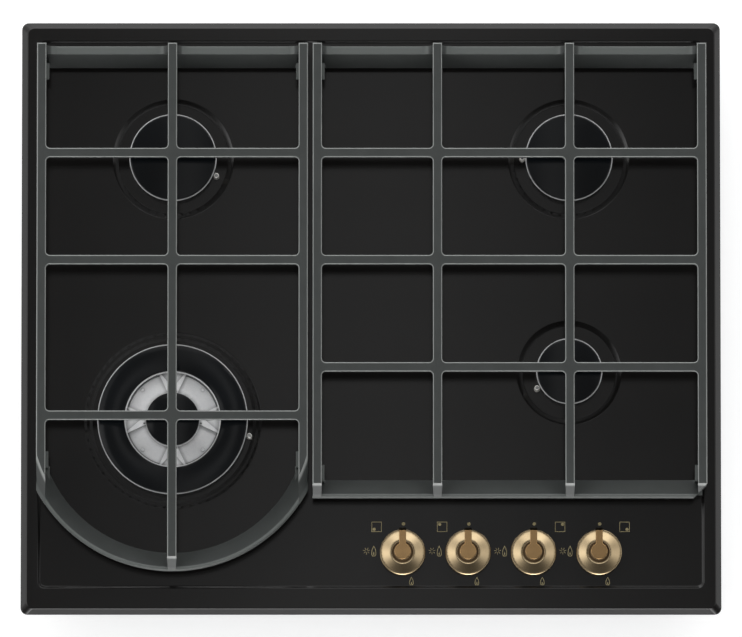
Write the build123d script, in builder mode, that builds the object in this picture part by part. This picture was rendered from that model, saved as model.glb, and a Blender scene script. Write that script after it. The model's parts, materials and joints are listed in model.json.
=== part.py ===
"""Built-in gas cooktop with four burners: two medium, one small and one triple-ring wok burner.

Millimetres, +X to the cook's right, +Y to the wall, +Z up. The origin is the middle of the
footprint, at the underside of the tray. The worktop's surface is at built_in_depth.
"""
from build123d import *
from math import atan2, cos, degrees, radians, sin, sqrt, tan
import os

os.makedirs("parts", exist_ok=True)

# ------------------------------------------------------------------ driving dimensions
# Plate: one pressed steel sheet
plate_width = 600.0
plate_depth = 510.0
plate_corner = 6.0
sheet = 1.0
rim_run = 5.0
rim_drop = 6.0
rim_crease = 1.6
built_in_depth = 50.0
rim_lift = 0.5
side_border = 14.8
front_border = 22.5
rear_border = 16.0
recess_corner = 5.0
recess_depth = 1.5
recess_run = 1.8
press_radius = 1.6
inner_round_loss = 0.6
seal_gap = 1.5
well_run = 5.0
well_depth = 2.0
wok_step_run = 2.4
wok_step_depth = 1.1
wok_ledge = 2.2

# Burners
burner_inset = 130.2
rear_burner_inset = 118.2
small_burner_inset = 207.8
wok_burner_inset = 166.4
medium_cap_radius = 36.5
medium_hole_radius = 25.0
medium_well_radius = 52.0
medium_ports = 40
small_cap_radius = 27.4
small_hole_radius = 17.0
small_well_radius = 45.0
small_ports = 30
wok_cap_radius = 63.5
wok_cap_hole = 41.5
wok_centre_radius = 22.8
wok_hole_radius = 46.0
wok_well_radius = 76.0
wok_ports = 60
wok_inner_ports = 24
bowl_floor = 22.0
bowl_skin = 3.2
bowl_wall = 2.5
screw_offset = 2.5
flange_margin = 3.8
flange_thickness = 2.5
post_radius = 7.0
air_hole_share = 0.3
post_height = 16.0
stub_radius = 6.5
stub_reach = 8.0
gas_bore = 2.0
jet_channel = 1.6
jet_thread = 3.0
jet_seat = 34.0
jet_top = 42.0
jet_hex = 4.0
jet_bore = 1.2
jet_nozzle = 0.45
jet_tip = 1.5
screw_radius = 1.75
screw_head = 2.4
screw_head_height = 1.5
screw_length = 8.0
screw_hole = 2.0
screw_boss_wall = 2.0
cross_length = 3.2
cross_width = 0.7
cross_depth = 0.8
venturi_radius = 6.4
venturi_wall = 1.5
venturi_drop = 8.0
crown_play = 0.6
skirt_wall = 2.0
skirt_drop = 5.0
crown_inset = 1.5
crown_floor = 2.4
crown_skin = 2.0
crown_height = 15.0
crown_lip = 0.9
crown_lip_height = 1.0
crown_wall_foot = 2.5
wok_crown_height = 17.0
cap_edge = 2.2
cap_crown = 4.8
cap_skin = 1.8
cap_round = 1.1
cap_ring = 3.0
cap_ring_wall = 1.9
ring_cap_crown = 3.5
port_width = 1.3
port_height = 4.5
port_length = 9.0
port_drop = 3.0
seat_gap = 0.3
overlap = 0.5

# Trough, ducts and tower inside the wok crown
gallery_half = 1.1
tower_lip = 0.6
tower_wall = 3.8
trough_height = 10.0
trough_skin = 3.6
groove_width = 1.4
groove_skin = 1.5
bridge_height = 3.2
bridge_inner_half = 4.0
bridge_outer_half = 12.5
pocket_depth = 2.2
pocket_tip = 27.5
pocket_half = 10.0
pocket_wall = 1.2
duct_width = 5.0
duct_height = 5.6
locator_radius = 1.7
locator_inset = 4.0
locator_height = 1.3
inner_port_drop = 7.0
inner_port_length = 8.0
inner_port_height = 3.5

# Spark electrodes
electrode_radius = 2.2
electrode_gap = 1.3
electrode_play = 0.4
collar_radius = 4.2
collar_height = 5.0
terminal_radius = 1.6
terminal_z = 30.0
tail_length = 6.0
glaze_round = 0.8
pin_radius = 0.7
pin_height = 2.2
ceramic_height = 12.5

# Pan supports
support_height = 46.0
bar_width = 8.2
bar_depth = 15.0
bar_draft = 4.0
bar_edge = 1.2
junction_radius = 3.2
frame_drop = 10.0
frame_height = 20.0
frame_taper = 1.0
rear_land = 6.9
rear_slope = 9.7
front_land = 3.4
front_slope = 13.6
rear_frame_inset = 24.7
rear_overhang = 1.9
front_frame_inset = 97.0
front_slant = 12.0
arc_overreach = 19.9
support_setback = 0.8
left_bar_inset = 18.3
right_bar_inset = 17.2
support_gap = 3.8
sweep_radius = 8.0
corner_cut = 12.0
leg_width = 7.4
leg_length = 13.0
leg_inset = 3.4
leg_overlap = 4.0
arch_length = 14.0
arch_width = 5.6
arch_sag = 5.0
foot_height = 2.5
foot_radius = 3.0
foot_pin_radius = 1.6
foot_pin_length = 4.0
foot_pin_play = 0.1
foot_pin_end_gap = 0.5

# Knobs and taps
first_knob_inset = 273.0
knob_pitch = 56.0
knob_inset = 52.8
knob_radius = 19.4
knob_gap = 4.2
knob_skirt = 6.6
cone_rise = 3.4
ring_radius = 9.8
boss_radius = 7.0
boss_height = 12.0
pointer_width = 6.0
pointer_overhang = 1.3
push_stroke = 3.5
stem_radius = 4.0
stem_flat = 2.8
stem_play = 1.5
running = 0.05

# Tray and gas line
tray_side_inset = 30.0
tray_front_inset = 36.0
tray_rear_inset = 29.0
tray_sheet = 0.8
tray_flange = 10.0
tray_corner = 8.0
manifold_width = 18.0
manifold_height = 16.0
manifold_bore = 4.0
manifold_end = 20.0
manifold_wall = 2.0
manifold_bottom = 8.0
manifold_foot = 8.0
gas_level = 31.0
pipe_radius = 4.0
pipe_bore = 3.0
pipe_bend = 12.0
pipe_lead = 38.0
pipe_shift = 40.0
small_bypass = 50.0
nut_flats = 15.0
nut_grip = 5.0
nut_collar = 1.0
inlet_radius = 6.0
inlet_bore = 4.5
inlet_bend = 18.0
inlet_flats = 24.0
inlet_hex_depth = 14.0
inlet_thread_radius = 10.48
inlet_thread_length = 16.0
inlet_play = 0.6
locknut_flats = 27.0
locknut_depth = 5.0
inlet_inset = 32.0
gland_inset = 42.0
gland_level = 20.0
gland_bore = 4.0
gland_neck = 6.2
gland_play = 0.1
gland_flange = 8.0
gland_thickness = 2.0
stud_length = 5.0
stud_end = 75.0
m4_radius = 2.0
m4_hole = 2.2
m4_head = 3.6
m4_head_height = 2.4
m4_flats = 7.0
m4_nut_height = 3.2
tap_screw_grip = 7.0
clamp_sheet = 2.0
clamp_end = 98.0
clamp_reach = 22.0
clamp_width = 20.0
clamp_low = 8.0
clamp_high = 44.0
clamp_screw_z = 34.0

# Ignition
generator_x = -30.0
generator_inset = 85.0
generator_width = 60.0
generator_depth = 40.0
generator_height = 24.0
spigot_radius = 2.5
spigot_length = 3.0
spigot_pitch = 10.0
lead_radius = 1.5
lead_level = 8.0
lead_bend = 6.0
lead_start = 32.0
loom_radius = 1.2
loom_gap = 1.8
switch_width = 7.0
switch_length = 10.0
switch_height = 10.0
switch_level = 39.0
knob_burners = ("wok", "rear_left", "rear_right", "front_right")

# ------------------------------------------------------------------ levels and places
rim_z = built_in_depth + rim_lift
border_z = rim_z + rim_drop
deck_z = border_z - recess_depth
deck_under = deck_z - sheet
well_z = deck_z - well_depth
wok_well_z = deck_z - 2 * wok_step_depth
support_z = deck_z + support_height
bar_under = support_z - bar_depth
frame_z = support_z - frame_drop
frame_under = frame_z - frame_height
burner_side = plate_width / 2 - burner_inset
rear_burner_y = plate_depth / 2 - rear_burner_inset
small_burner_y = small_burner_inset - plate_depth / 2
wok_burner_y = wok_burner_inset - plate_depth / 2
rear_frame_y = plate_depth / 2 - rear_frame_inset
front_frame_y = front_frame_inset - plate_depth / 2
left_half_pitch = burner_inset - left_bar_inset
right_half_pitch = burner_inset - right_bar_inset
arc_radius = left_half_pitch + arc_overreach
first_knob_x = plate_width / 2 - first_knob_inset
knob_y = knob_inset - plate_depth / 2
tray_width = plate_width - 2 * tray_side_inset
tray_front = plate_depth / 2 - tray_front_inset
tray_rear = plate_depth / 2 - tray_rear_inset
inlet_x = tray_width / 2 - inlet_inset
gland_x = gland_inset - tray_width / 2
generator_y = plate_depth / 2 - generator_inset
recess_width = plate_width - 2 * side_border
recess_front = -plate_depth / 2 + front_border
recess_rear = plate_depth / 2 - rear_border
recess_length = recess_rear - recess_front
recess_y = (recess_rear + recess_front) / 2
skin_inset = sheet * tan(atan2(rim_drop, rim_run) / 2)
knob_places = [first_knob_x + place * knob_pitch for place in range(4)]
medium_places = {"rear_left": -burner_side, "rear_right": burner_side}


# Distance within which two places count as the same
touch = 0.01


def level(x, y, z=0.0, turn=0.0):
    """Horizontal plane with its origin at a point and its x axis turned about the vertical."""
    heading = (cos(radians(turn)), sin(radians(turn)), 0)
    return Plane(origin=(x, y, z), x_dir=heading, z_dir=(0, 0, 1))


def upright(x, y, turn=0.0):
    """Vertical plane through a point: local x is horizontal, local y is height."""
    heading = (cos(radians(turn)), sin(radians(turn)), 0)
    return Plane(origin=(x, y, 0), x_dir=heading, z_dir=(heading[1], -heading[0], 0))


def vertical(x, y):
    """Vertical axis through a point."""
    return Axis((x, y, 0), (0, 0, 1))


def keep(piece, name):
    """Labels a finished piece and writes it."""
    piece.part.label = name
    export_step(piece.part, f"parts/{name}.step")


def polar(x, y, radius, angle):
    """Point at a distance and angle from a centre."""
    return (x + radius * cos(radians(angle)), y + radius * sin(radians(angle)))


# ------------------------------------------------------------------ burner sizes
def burner_sizes(x, y, cap_radius, hole_radius, well_floor):
    """Sizes that every burner piece and the holes in the plate share."""
    screw_circle = hole_radius + bowl_wall + screw_offset
    return {
        "x": x,
        "y": y,
        "cap": cap_radius,
        "hole": hole_radius,
        "floor": well_floor,
        "under": well_floor - sheet,
        "bowl": hole_radius + bowl_wall,
        "screws": screw_circle,
        "flange": screw_circle + flange_margin,
        "base": cap_radius - crown_inset,
    }


medium_burners = {
    name: burner_sizes(x, rear_burner_y, medium_cap_radius, medium_hole_radius, well_z)
    for name, x in medium_places.items()
}
small_burner = burner_sizes(burner_side, small_burner_y, small_cap_radius, small_hole_radius, well_z)
wok_burner = burner_sizes(-burner_side, wok_burner_y, wok_cap_radius, wok_hole_radius, wok_well_z)
burners = {**medium_burners, "front_right": small_burner, "wok": wok_burner}
screw_turns = {"rear_left": 60.0, "rear_right": 60.0, "front_right": 60.0, "wok": 45.0}
screw_counts = {"rear_left": 2, "rear_right": 2, "front_right": 2, "wok": 4}

electrode_turns = {"rear_left": -22.0, "rear_right": 180.0, "front_right": 207.0, "wok": -11.7}
electrode_places = {
    name: polar(size["x"], size["y"], size["cap"] + electrode_gap + electrode_radius, electrode_turns[name])
    for name, size in burners.items()
}


# ------------------------------------------------------------------ top plate
def on_ring(edge, x, y, radius, z):
    """True for a full circular edge of this radius, centre and height."""
    if edge.geom_type != GeomType.CIRCLE:
        return False
    centre = edge.arc_center
    near = abs(centre.X - x) < touch and abs(centre.Y - y) < touch and abs(centre.Z - z) < touch
    return near and abs(edge.radius - radius) < touch


def pressed_form(inset, drop):
    """Solid below the pressed skin; inset and drop move its outside to the skin's inner face."""
    top = border_z - drop
    floor = deck_z - drop
    with BuildPart() as form:
        with BuildSketch(level(0, 0, rim_z)):
            RectangleRounded(plate_width - 2 * inset, plate_depth - 2 * inset, plate_corner - inset)
        with BuildSketch(level(0, 0, top)):
            RectangleRounded(
                plate_width - 2 * (rim_run + inset),
                plate_depth - 2 * (rim_run + inset),
                plate_corner - inset,
            )
        loft(ruled=True)
        crease = form.edges().filter_by_position(Axis.Z, top - touch, top + touch)
        fillet(crease, rim_crease - inner_round_loss * drop)
        with BuildSketch(level(0, recess_y, top)):
            RectangleRounded(recess_width + 2 * inset, recess_length + 2 * inset, recess_corner + inset)
        with BuildSketch(level(0, recess_y, floor)):
            RectangleRounded(
                recess_width - 2 * (recess_run - inset),
                recess_length - 2 * (recess_run - inset),
                recess_corner + inset,
            )
        loft(ruled=True, mode=Mode.SUBTRACT)
        inner = form.edges().filter_by_position(Axis.Z, top - touch, top + touch)
        inner = inner.filter_by(lambda edge: abs(edge.center().X) < recess_width / 2 + inset + touch)
        inner = inner.filter_by(lambda edge: recess_front - 1 < edge.center().Y < recess_rear + 1)
        fillet(inner, press_radius - inner_round_loss * drop)
        foot = form.edges().filter_by_position(Axis.Z, floor - touch, floor + touch)
        fillet(foot, press_radius)
        steps = []
        for size in (*medium_burners.values(), small_burner):
            well = medium_well_radius if size["cap"] == medium_cap_radius else small_well_radius
            lip = well + inset
            steps.append((size["x"], size["y"], lip, lip - well_run, floor, size["floor"] - drop))
        x, y = wok_burner["x"], wok_burner["y"]
        first = wok_well_radius + inset
        second = first - wok_step_run - wok_ledge
        middle = floor - wok_step_depth
        steps.append((x, y, first, first - wok_step_run, floor, middle))
        steps.append((x, y, second, second - wok_step_run, middle, wok_well_z - drop))
        for x, y, outer, inner_radius, upper, lower in steps:
            with BuildSketch(upright(x, y)):
                with BuildLine():
                    Polyline((0, upper), (outer, upper), (inner_radius, lower), (0, lower), close=True)
                make_face()
            revolve(axis=vertical(x, y), mode=Mode.SUBTRACT)
        rings = [(x, y, outer, upper) for x, y, outer, inner_radius, upper, lower in steps]
        rings += [(x, y, inner_radius, lower) for x, y, outer, inner_radius, upper, lower in steps]
        rims = form.edges().filter_by(lambda edge: any(on_ring(edge, *ring) for ring in rings))
        fillet(rims, press_radius)
    return form.part


outside_form = pressed_form(0.0, 0.0)
inside_form = pressed_form(skin_inset, sheet)

stem_hole = stem_radius + stem_play
electrode_hole = electrode_radius + electrode_play

with BuildPart() as top_plate:
    add(outside_form)
    add(inside_form, mode=Mode.SUBTRACT)
    with BuildSketch(level(0, 0, border_z)):
        for name, size in burners.items():
            with Locations((size["x"], size["y"])):
                Circle(size["hole"])
            for place in range(screw_counts[name]):
                turn = screw_turns[name] + place * 360.0 / screw_counts[name]
                with Locations(polar(size["x"], size["y"], size["screws"], turn)):
                    Circle(screw_hole)
            with Locations(electrode_places[name]):
                Circle(electrode_hole)
        for x in knob_places:
            with Locations((x, knob_y)):
                Circle(stem_hole)
    extrude(amount=-(border_z - built_in_depth), mode=Mode.SUBTRACT)
keep(top_plate, "top_plate")

# Foam strip stuck under the border; the worktop presses it from below.
with BuildPart() as rim_seal:
    with BuildSketch(level(0, 0, built_in_depth)):
        RectangleRounded(
            plate_width - 2 * (rim_run + seal_gap), plate_depth - 2 * (rim_run + seal_gap), plate_corner
        )
        with Locations((0, recess_y)):
            RectangleRounded(
                recess_width + 2 * (skin_inset + seal_gap),
                recess_length + 2 * (skin_inset + seal_gap),
                recess_corner,
                mode=Mode.SUBTRACT,
            )
    extrude(amount=border_z - sheet - built_in_depth)
keep(rim_seal, "rim_seal")


# ------------------------------------------------------------------ pan supports
def pan_support(bars, crosses, round_front):
    """One iron casting: crossed bars on a lower frame with legs."""
    left, right = bars[0], bars[-1]
    half = bar_width / 2
    rear_tip = rear_frame_y + rear_overhang
    front_tip = wok_burner_y - arc_radius if round_front else front_frame_y
    rear_foot = rear_frame_y - rear_land - rear_slope
    front_foot = front_frame_y + front_land + front_slope
    with BuildPart() as casting:
        with BuildSketch(level(0, 0, support_z)) as plan:
            for x in bars:
                with Locations((x, (rear_tip + front_tip) / 2)):
                    Rectangle(bar_width, rear_tip - front_tip)
            for y in crosses:
                with Locations(((left + right) / 2, y)):
                    Rectangle(right - left, bar_width)
            corners = plan.vertices().filter_by(
                lambda corner: any(abs(abs(corner.Y - y) - half) < touch for y in crosses)
            )
            fillet(corners, junction_radius)
        extrude(amount=-bar_depth, taper=bar_draft)
        fillet(casting.faces().sort_by(Axis.Z)[-1].edges(), bar_edge)

        # Rear frame, with a rounded sweep up to each bar
        with BuildSketch(Plane.YZ.offset(left - half)) as rear_section:
            with BuildLine():
                Polyline(
                    (rear_frame_y, frame_z),
                    (rear_frame_y - rear_land, frame_z),
                    (rear_foot, frame_under),
                    (rear_frame_y - frame_taper, frame_under),
                    close=True,
                )
            make_face()
            fillet(rear_section.vertices().group_by(Axis.Y)[-1], bar_edge)
        extrude(amount=right - left + bar_width)
        for x in bars:
            for side in (-1, 1):
                if (x == left and side < 0) or (x == right and side > 0):
                    continue
                start = side * (half - bar_edge)
                foot = side * (half + sweep_radius)
                bend = side * (half + sweep_radius * (1 - cos(radians(45))))
                crest = frame_z + sweep_radius
                root = frame_z - overlap
                with BuildSketch(upright(x, rear_frame_y)):
                    with BuildLine():
                        Polyline((side * half, crest), (start, crest), (start, root))
                        Polyline((start, root), (foot, root), (foot, frame_z))
                        ThreePointArc(
                            (foot, frame_z),
                            (bend, frame_z + sweep_radius * (1 - cos(radians(45)))),
                            (side * half, crest),
                        )
                    make_face()
                extrude(amount=rear_land)

        # Front frame: straight, or an arc about the wok burner
        if round_front:
            middle = (left + right) / 2
            inner = arc_radius - front_land - front_slope
            turn = degrees(atan2(sqrt(inner**2 - (right - middle - half) ** 2), right - middle - half))
            with BuildSketch(upright(middle, wok_burner_y, 180 + turn)) as arc_section:
                with BuildLine():
                    Polyline(
                        (arc_radius, frame_z),
                        (arc_radius - front_land, frame_z),
                        (inner, frame_under),
                        (arc_radius - frame_taper, frame_under),
                        close=True,
                    )
                make_face()
                fillet(arc_section.vertices().group_by(Axis.Y)[-1], bar_edge)
            revolve(axis=vertical(middle, wok_burner_y), revolution_arc=180 - 2 * turn)
            with BuildSketch(upright(middle, wok_burner_y, 180)):
                with BuildLine():
                    Polyline(
                        (arc_radius - front_slant, support_z + 1),
                        (arc_radius - front_slant, support_z),
                        (arc_radius, frame_z - bar_edge),
                        (arc_radius, frame_under - 1),
                        (2 * arc_radius, frame_under - 1),
                        (2 * arc_radius, support_z + 1),
                        close=True,
                    )
                make_face()
            revolve(axis=vertical(middle, wok_burner_y), revolution_arc=180, mode=Mode.SUBTRACT)
            with BuildSketch(level(0, 0, frame_under - 1)):
                for side in (-1, 1):
                    with Locations((middle + side * (right - middle + half + arc_radius / 2), wok_burner_y)):
                        Rectangle(arc_radius, 3 * arc_radius)
            extrude(amount=frame_drop + frame_height + 2, mode=Mode.SUBTRACT)
            reach = arc_radius - front_land - front_slope / 2
            side_leg = wok_burner_y - sqrt(reach**2 - (right - middle) ** 2)
            front_legs = [(left, side_leg), (middle, wok_burner_y - reach), (right, side_leg)]
        else:
            with BuildSketch(Plane.YZ.offset(left - half)) as front_section:
                with BuildLine():
                    Polyline(
                        (front_frame_y, frame_z),
                        (front_frame_y + front_land, frame_z),
                        (front_foot, frame_under),
                        (front_frame_y + frame_taper, frame_under),
                        close=True,
                    )
                make_face()
                fillet(front_section.vertices().group_by(Axis.Y)[-1], bar_edge)
            extrude(amount=right - left + bar_width)
            with BuildSketch(Plane.YZ.offset(left - bar_width)):
                with BuildLine():
                    Polyline(
                        (front_frame_y + front_slant, support_z),
                        (front_frame_y, frame_z - bar_edge),
                        (front_frame_y - 1, support_z + 1),
                        (front_frame_y + front_slant, support_z + 1),
                        close=True,
                    )
                make_face()
            extrude(amount=right - left + 2 * bar_width, mode=Mode.SUBTRACT)
            with BuildSketch(level(right + half, front_frame_y, frame_under - 1)):
                with BuildLine():
                    Polyline((1, corner_cut + 1), (-corner_cut - 1, -1), (1, -1), close=True)
                make_face()
            extrude(amount=frame_drop + frame_height + 2, mode=Mode.SUBTRACT)
            front_legs = [(x, front_frame_y + front_land + front_slope / 2) for x in (left, bars[-2], right)]

        # Legs under the frame, and the arch from each leg up to its bar
        rear_leg = rear_frame_y - rear_land - leg_length / 4
        front_legs = [(min(max(x, left + leg_inset), right - leg_inset), y) for x, y in front_legs]
        legs = [(x, rear_leg) for x, y in front_legs] + front_legs
        with BuildSketch(level(0, 0, frame_under + leg_overlap)):
            with Locations(*legs):
                Rectangle(leg_width, leg_length)
        extrude(amount=-(frame_under + leg_overlap - deck_z - foot_height), taper=bar_draft)
        for x, y in legs:
            inward = -1 if y > 0 else 1
            root = y + inward * leg_length / 3
            end = y + inward * (leg_length / 3 + arch_length)
            with BuildSketch(Plane.YZ.offset(x - arch_width / 2)):
                with BuildLine():
                    Polyline(
                        (end, bar_under),
                        (end, bar_under + leg_overlap),
                        (root, bar_under + leg_overlap),
                        (root, frame_under + leg_overlap / 2),
                    )
                    ThreePointArc(
                        (root, frame_under + leg_overlap / 2),
                        (y + inward * (leg_length + arch_length) / 3, bar_under - arch_sag),
                        (end, bar_under),
                    )
                make_face()
            extrude(amount=arch_width)
        with BuildSketch(level(0, 0, deck_z + foot_height)):
            with Locations(*legs):
                Circle(foot_pin_radius + foot_pin_play)
        extrude(amount=foot_pin_length + foot_pin_end_gap, mode=Mode.SUBTRACT)
    return casting, legs


def rubber_feet(legs):
    """Rubber buffers, each with a pin pressed up into its leg."""
    with BuildPart() as feet:
        with BuildSketch(level(0, 0, deck_z)):
            with Locations(*legs):
                Circle(foot_radius)
        extrude(amount=foot_height)
        with BuildSketch(level(0, 0, deck_z + foot_height)):
            with Locations(*legs):
                Circle(foot_pin_radius)
        extrude(amount=foot_pin_length)
    return feet


rear_cross_y = rear_burner_y + support_setback
middle_cross_y = (rear_burner_y + small_burner_y) / 2 + support_setback
left_bars = [-burner_side - left_half_pitch, -burner_side, -burner_side + left_half_pitch]
right_bars = [
    left_bars[-1] + bar_width + support_gap,
    burner_side - right_half_pitch,
    burner_side,
    burner_side + right_half_pitch,
]
left_crosses = [rear_cross_y, middle_cross_y, wok_burner_y + support_setback]
right_crosses = [rear_cross_y, middle_cross_y, small_burner_y + support_setback]

pan_support_left, left_legs = pan_support(left_bars, left_crosses, round_front=True)
keep(pan_support_left, "pan_support_left")
pan_support_right, right_legs = pan_support(right_bars, right_crosses, round_front=False)
keep(pan_support_right, "pan_support_right")
feet_left = rubber_feet(left_legs)
keep(feet_left, "feet_left")
feet_right = rubber_feet(right_legs)
keep(feet_right, "feet_right")


# ------------------------------------------------------------------ burners
stub_turns = {"rear_left": 0.0, "rear_right": 270.0, "front_right": 270.0, "wok": 0.0}


def screw_places(name):
    """Centres of a burner's screws."""
    size = burners[name]
    turns = [screw_turns[name] + place * 360.0 / screw_counts[name] for place in range(screw_counts[name])]
    return [polar(size["x"], size["y"], size["screws"], turn) for turn in turns]


def burner_cup(name):
    """Cast cup below the plate: bowl, flange, jet post and gas inlet stub."""
    size = burners[name]
    x, y = size["x"], size["y"]
    stub = stub_turns[name]
    with BuildPart() as cup:
        with BuildSketch(level(x, y, bowl_floor, 45)):
            Circle(size["bowl"])
        extrude(amount=size["under"] - bowl_floor)
        with BuildSketch(level(x, y, size["under"] - flange_thickness)):
            Circle(size["flange"])
        extrude(amount=flange_thickness)
        with BuildSketch(level(0, 0, size["under"] - screw_length)):
            with Locations(*screw_places(name)):
                Circle(screw_radius + screw_boss_wall)
        extrude(amount=screw_length - flange_thickness)
        with BuildSketch(level(x, y, bowl_floor + bowl_skin, 45)):
            Circle(size["hole"])
        extrude(amount=size["under"] - bowl_floor - bowl_skin, mode=Mode.SUBTRACT)
        with BuildSketch(level(x, y, bowl_floor, 45)):
            Circle(post_radius)
        extrude(amount=post_height)
        with BuildSketch(upright(x, y, stub + 90)):
            with Locations((0, gas_level)):
                Circle(stub_radius)
        extrude(amount=size["bowl"] + stub_reach)
        with BuildSketch(upright(x, y, stub + 90)):
            with Locations((0, gas_level)):
                Circle(gas_bore)
        extrude(amount=size["bowl"] + stub_reach, mode=Mode.SUBTRACT)
        with BuildSketch(level(x, y, gas_level)):
            Circle(jet_channel)
        extrude(amount=jet_seat - gas_level, mode=Mode.SUBTRACT)
        with BuildSketch(level(x, y, jet_seat)):
            Circle(jet_thread)
        extrude(amount=bowl_floor + post_height - jet_seat, mode=Mode.SUBTRACT)
        with BuildSketch(level(x, y, bowl_floor, stub + 90)):
            with PolarLocations((post_radius + size["hole"]) / 2, 2):
                Circle((size["hole"] - post_radius) * air_hole_share)
        extrude(amount=bowl_skin, mode=Mode.SUBTRACT)
        with BuildSketch(level(0, 0, size["under"] - screw_length)):
            with Locations(*screw_places(name)):
                Circle(screw_radius)
        extrude(amount=screw_length, mode=Mode.SUBTRACT)
    return cup


def crown_base(size):
    """Section of a flame crown: venturi, skirt, floor and seat ring, each by two corners."""
    base, floor = size["floor"], size["floor"] + crown_floor
    venturi_top = (venturi_radius + venturi_wall, floor + overlap)
    skirt = size["hole"] - crown_play
    rest = size["screws"] + screw_head + overlap
    return [
        [(venturi_radius, base - venturi_drop), venturi_top],
        [(skirt - skirt_wall, base - skirt_drop), (skirt, floor + overlap)],
        [(venturi_radius, floor), (size["base"] - overlap, floor + crown_skin)],
        [(rest, base), (size["base"], floor + crown_skin)],
    ]


def flame_crown(size, height, ports, towers):
    """Aluminium flame crown. Towers are further rings: (inner radius, outer radius, low, high)."""
    x, y, base = size["x"], size["y"], size["floor"]
    lip = size["cap"] + crown_lip
    shelf = base + crown_floor + crown_skin
    with BuildPart() as crown:
        with BuildSketch(upright(x, y)):
            for low, high in crown_base(size) + [[(a, c), (b, d)] for a, b, c, d in towers]:
                with Locations(low):
                    Rectangle(high[0] - low[0], high[1] - low[1], align=(Align.MIN, Align.MIN))
            with BuildLine():
                Polyline(
                    (size["base"], shelf - overlap),
                    (lip, base + height - crown_lip_height),
                    (lip, base + height),
                    (size["cap"] - cap_ring, base + height),
                    (size["base"] - crown_wall_foot, shelf - overlap),
                    close=True,
                )
            make_face()
        revolve(axis=vertical(x, y))
        with BuildSketch(level(x, y, base + height - port_height - port_drop)):
            with PolarLocations(size["cap"] - crown_inset, ports):
                Rectangle(port_length, port_width)
        extrude(amount=port_height, mode=Mode.SUBTRACT)
    return crown


def round_cap(x, y, radius, seat, ring_radius):
    """Enamelled steel cap with a domed top and a locating ring below."""
    inner = ring_radius - cap_ring_wall
    shoulder = seat + cap_edge - cap_round
    with BuildPart() as cap:
        with BuildSketch(upright(x, y)):
            with BuildLine():
                Polyline(
                    (0, seat + cap_crown),
                    (0, seat + cap_skin),
                    (inner, seat + cap_skin),
                    (inner, seat - cap_ring),
                    (ring_radius, seat - cap_ring),
                    (ring_radius, seat),
                    (radius, seat),
                    (radius, shoulder),
                )
                TangentArc((radius, shoulder), (radius - cap_round, seat + cap_edge), tangent=(0, 1))
                TangentArc((0, seat + cap_crown), (radius - cap_round, seat + cap_edge), tangent=(1, 0))
            make_face()
        revolve(axis=vertical(x, y))
    return cap


for name in burners:
    keep(burner_cup(name), f"burner_cup_{name}")

for name, ports in (("rear_left", medium_ports), ("rear_right", medium_ports), ("front_right", small_ports)):
    size = burners[name]
    seat = size["floor"] + crown_height
    keep(flame_crown(size, crown_height, ports, []), f"flame_crown_{name}")
    ring = size["cap"] - cap_ring - 2 * seat_gap
    keep(round_cap(size["x"], size["y"], size["cap"], seat, ring), f"burner_cap_{name}")

# Wok crown: a gallery under the ring cap, a bright trough, and a centre tower under its own cap
wok_x, wok_y, wok_floor = wok_burner["x"], wok_burner["y"], wok_burner["floor"]
wok_seat = wok_floor + wok_crown_height
gallery_inner = wok_cap_hole - gallery_half
gallery_land = wok_cap_hole + gallery_half
tower_outer = wok_centre_radius + tower_lip
tower_inner = wok_centre_radius - tower_wall
trough_top = wok_floor + trough_height
trough_under = trough_top - trough_skin
groove_inner = gallery_inner - groove_width
wok_towers = [
    (gallery_inner, gallery_land, wok_floor + crown_floor, wok_seat),
    (gallery_inner, wok_cap_hole - seat_gap, wok_seat - crown_lip_height, wok_seat + crown_lip_height),
    (tower_outer - overlap, groove_inner, trough_under, trough_top),
    (groove_inner - overlap, gallery_inner + overlap, trough_under, trough_under + groove_skin),
    (tower_inner, tower_outer, trough_under, wok_seat),
]
flame_crown_wok = flame_crown(wok_burner, wok_crown_height, wok_ports, wok_towers)
with BuildPart() as flame_crown_wok_finished:
    add(flame_crown_wok.part)
    # Four ducts carry gas from the tower to the gallery; each has a pocket between raised edges.
    with BuildSketch(level(wok_x, wok_y, trough_under)):
        with PolarLocations(0, 4):
            Polygon(
                (tower_outer - overlap, -bridge_inner_half),
                (gallery_inner + overlap, -bridge_outer_half),
                (gallery_inner + overlap, bridge_outer_half),
                (tower_outer - overlap, bridge_inner_half),
                align=None,
            )
    extrude(amount=trough_top - trough_under + bridge_height)
    with BuildSketch(level(wok_x, wok_y, trough_top + bridge_height)):
        with PolarLocations(0, 4):
            far = gallery_inner - pocket_wall
            Polygon((pocket_tip, 0.0), (far, -pocket_half), (far, pocket_half), align=None)
    extrude(amount=-pocket_depth, mode=Mode.SUBTRACT)
    with BuildSketch(level(wok_x, wok_y, wok_floor + crown_floor + crown_skin)):
        with PolarLocations((tower_inner + gallery_land) / 2, 4):
            Rectangle(gallery_land - tower_inner + 4 * overlap, duct_width)
    extrude(amount=duct_height, mode=Mode.SUBTRACT)
    with BuildSketch(level(wok_x, wok_y, trough_top - overlap)):
        with PolarLocations(gallery_inner - locator_inset, 4, 45):
            Circle(locator_radius)
    extrude(amount=overlap + locator_height, taper=15)
    with BuildSketch(level(wok_x, wok_y, wok_seat - inner_port_drop)):
        with PolarLocations((tower_inner + tower_outer) / 2, wok_inner_ports, 180 / wok_inner_ports):
            Rectangle(inner_port_length, port_width)
    extrude(amount=inner_port_height, mode=Mode.SUBTRACT)
keep(flame_crown_wok_finished, "flame_crown_wok")

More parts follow.
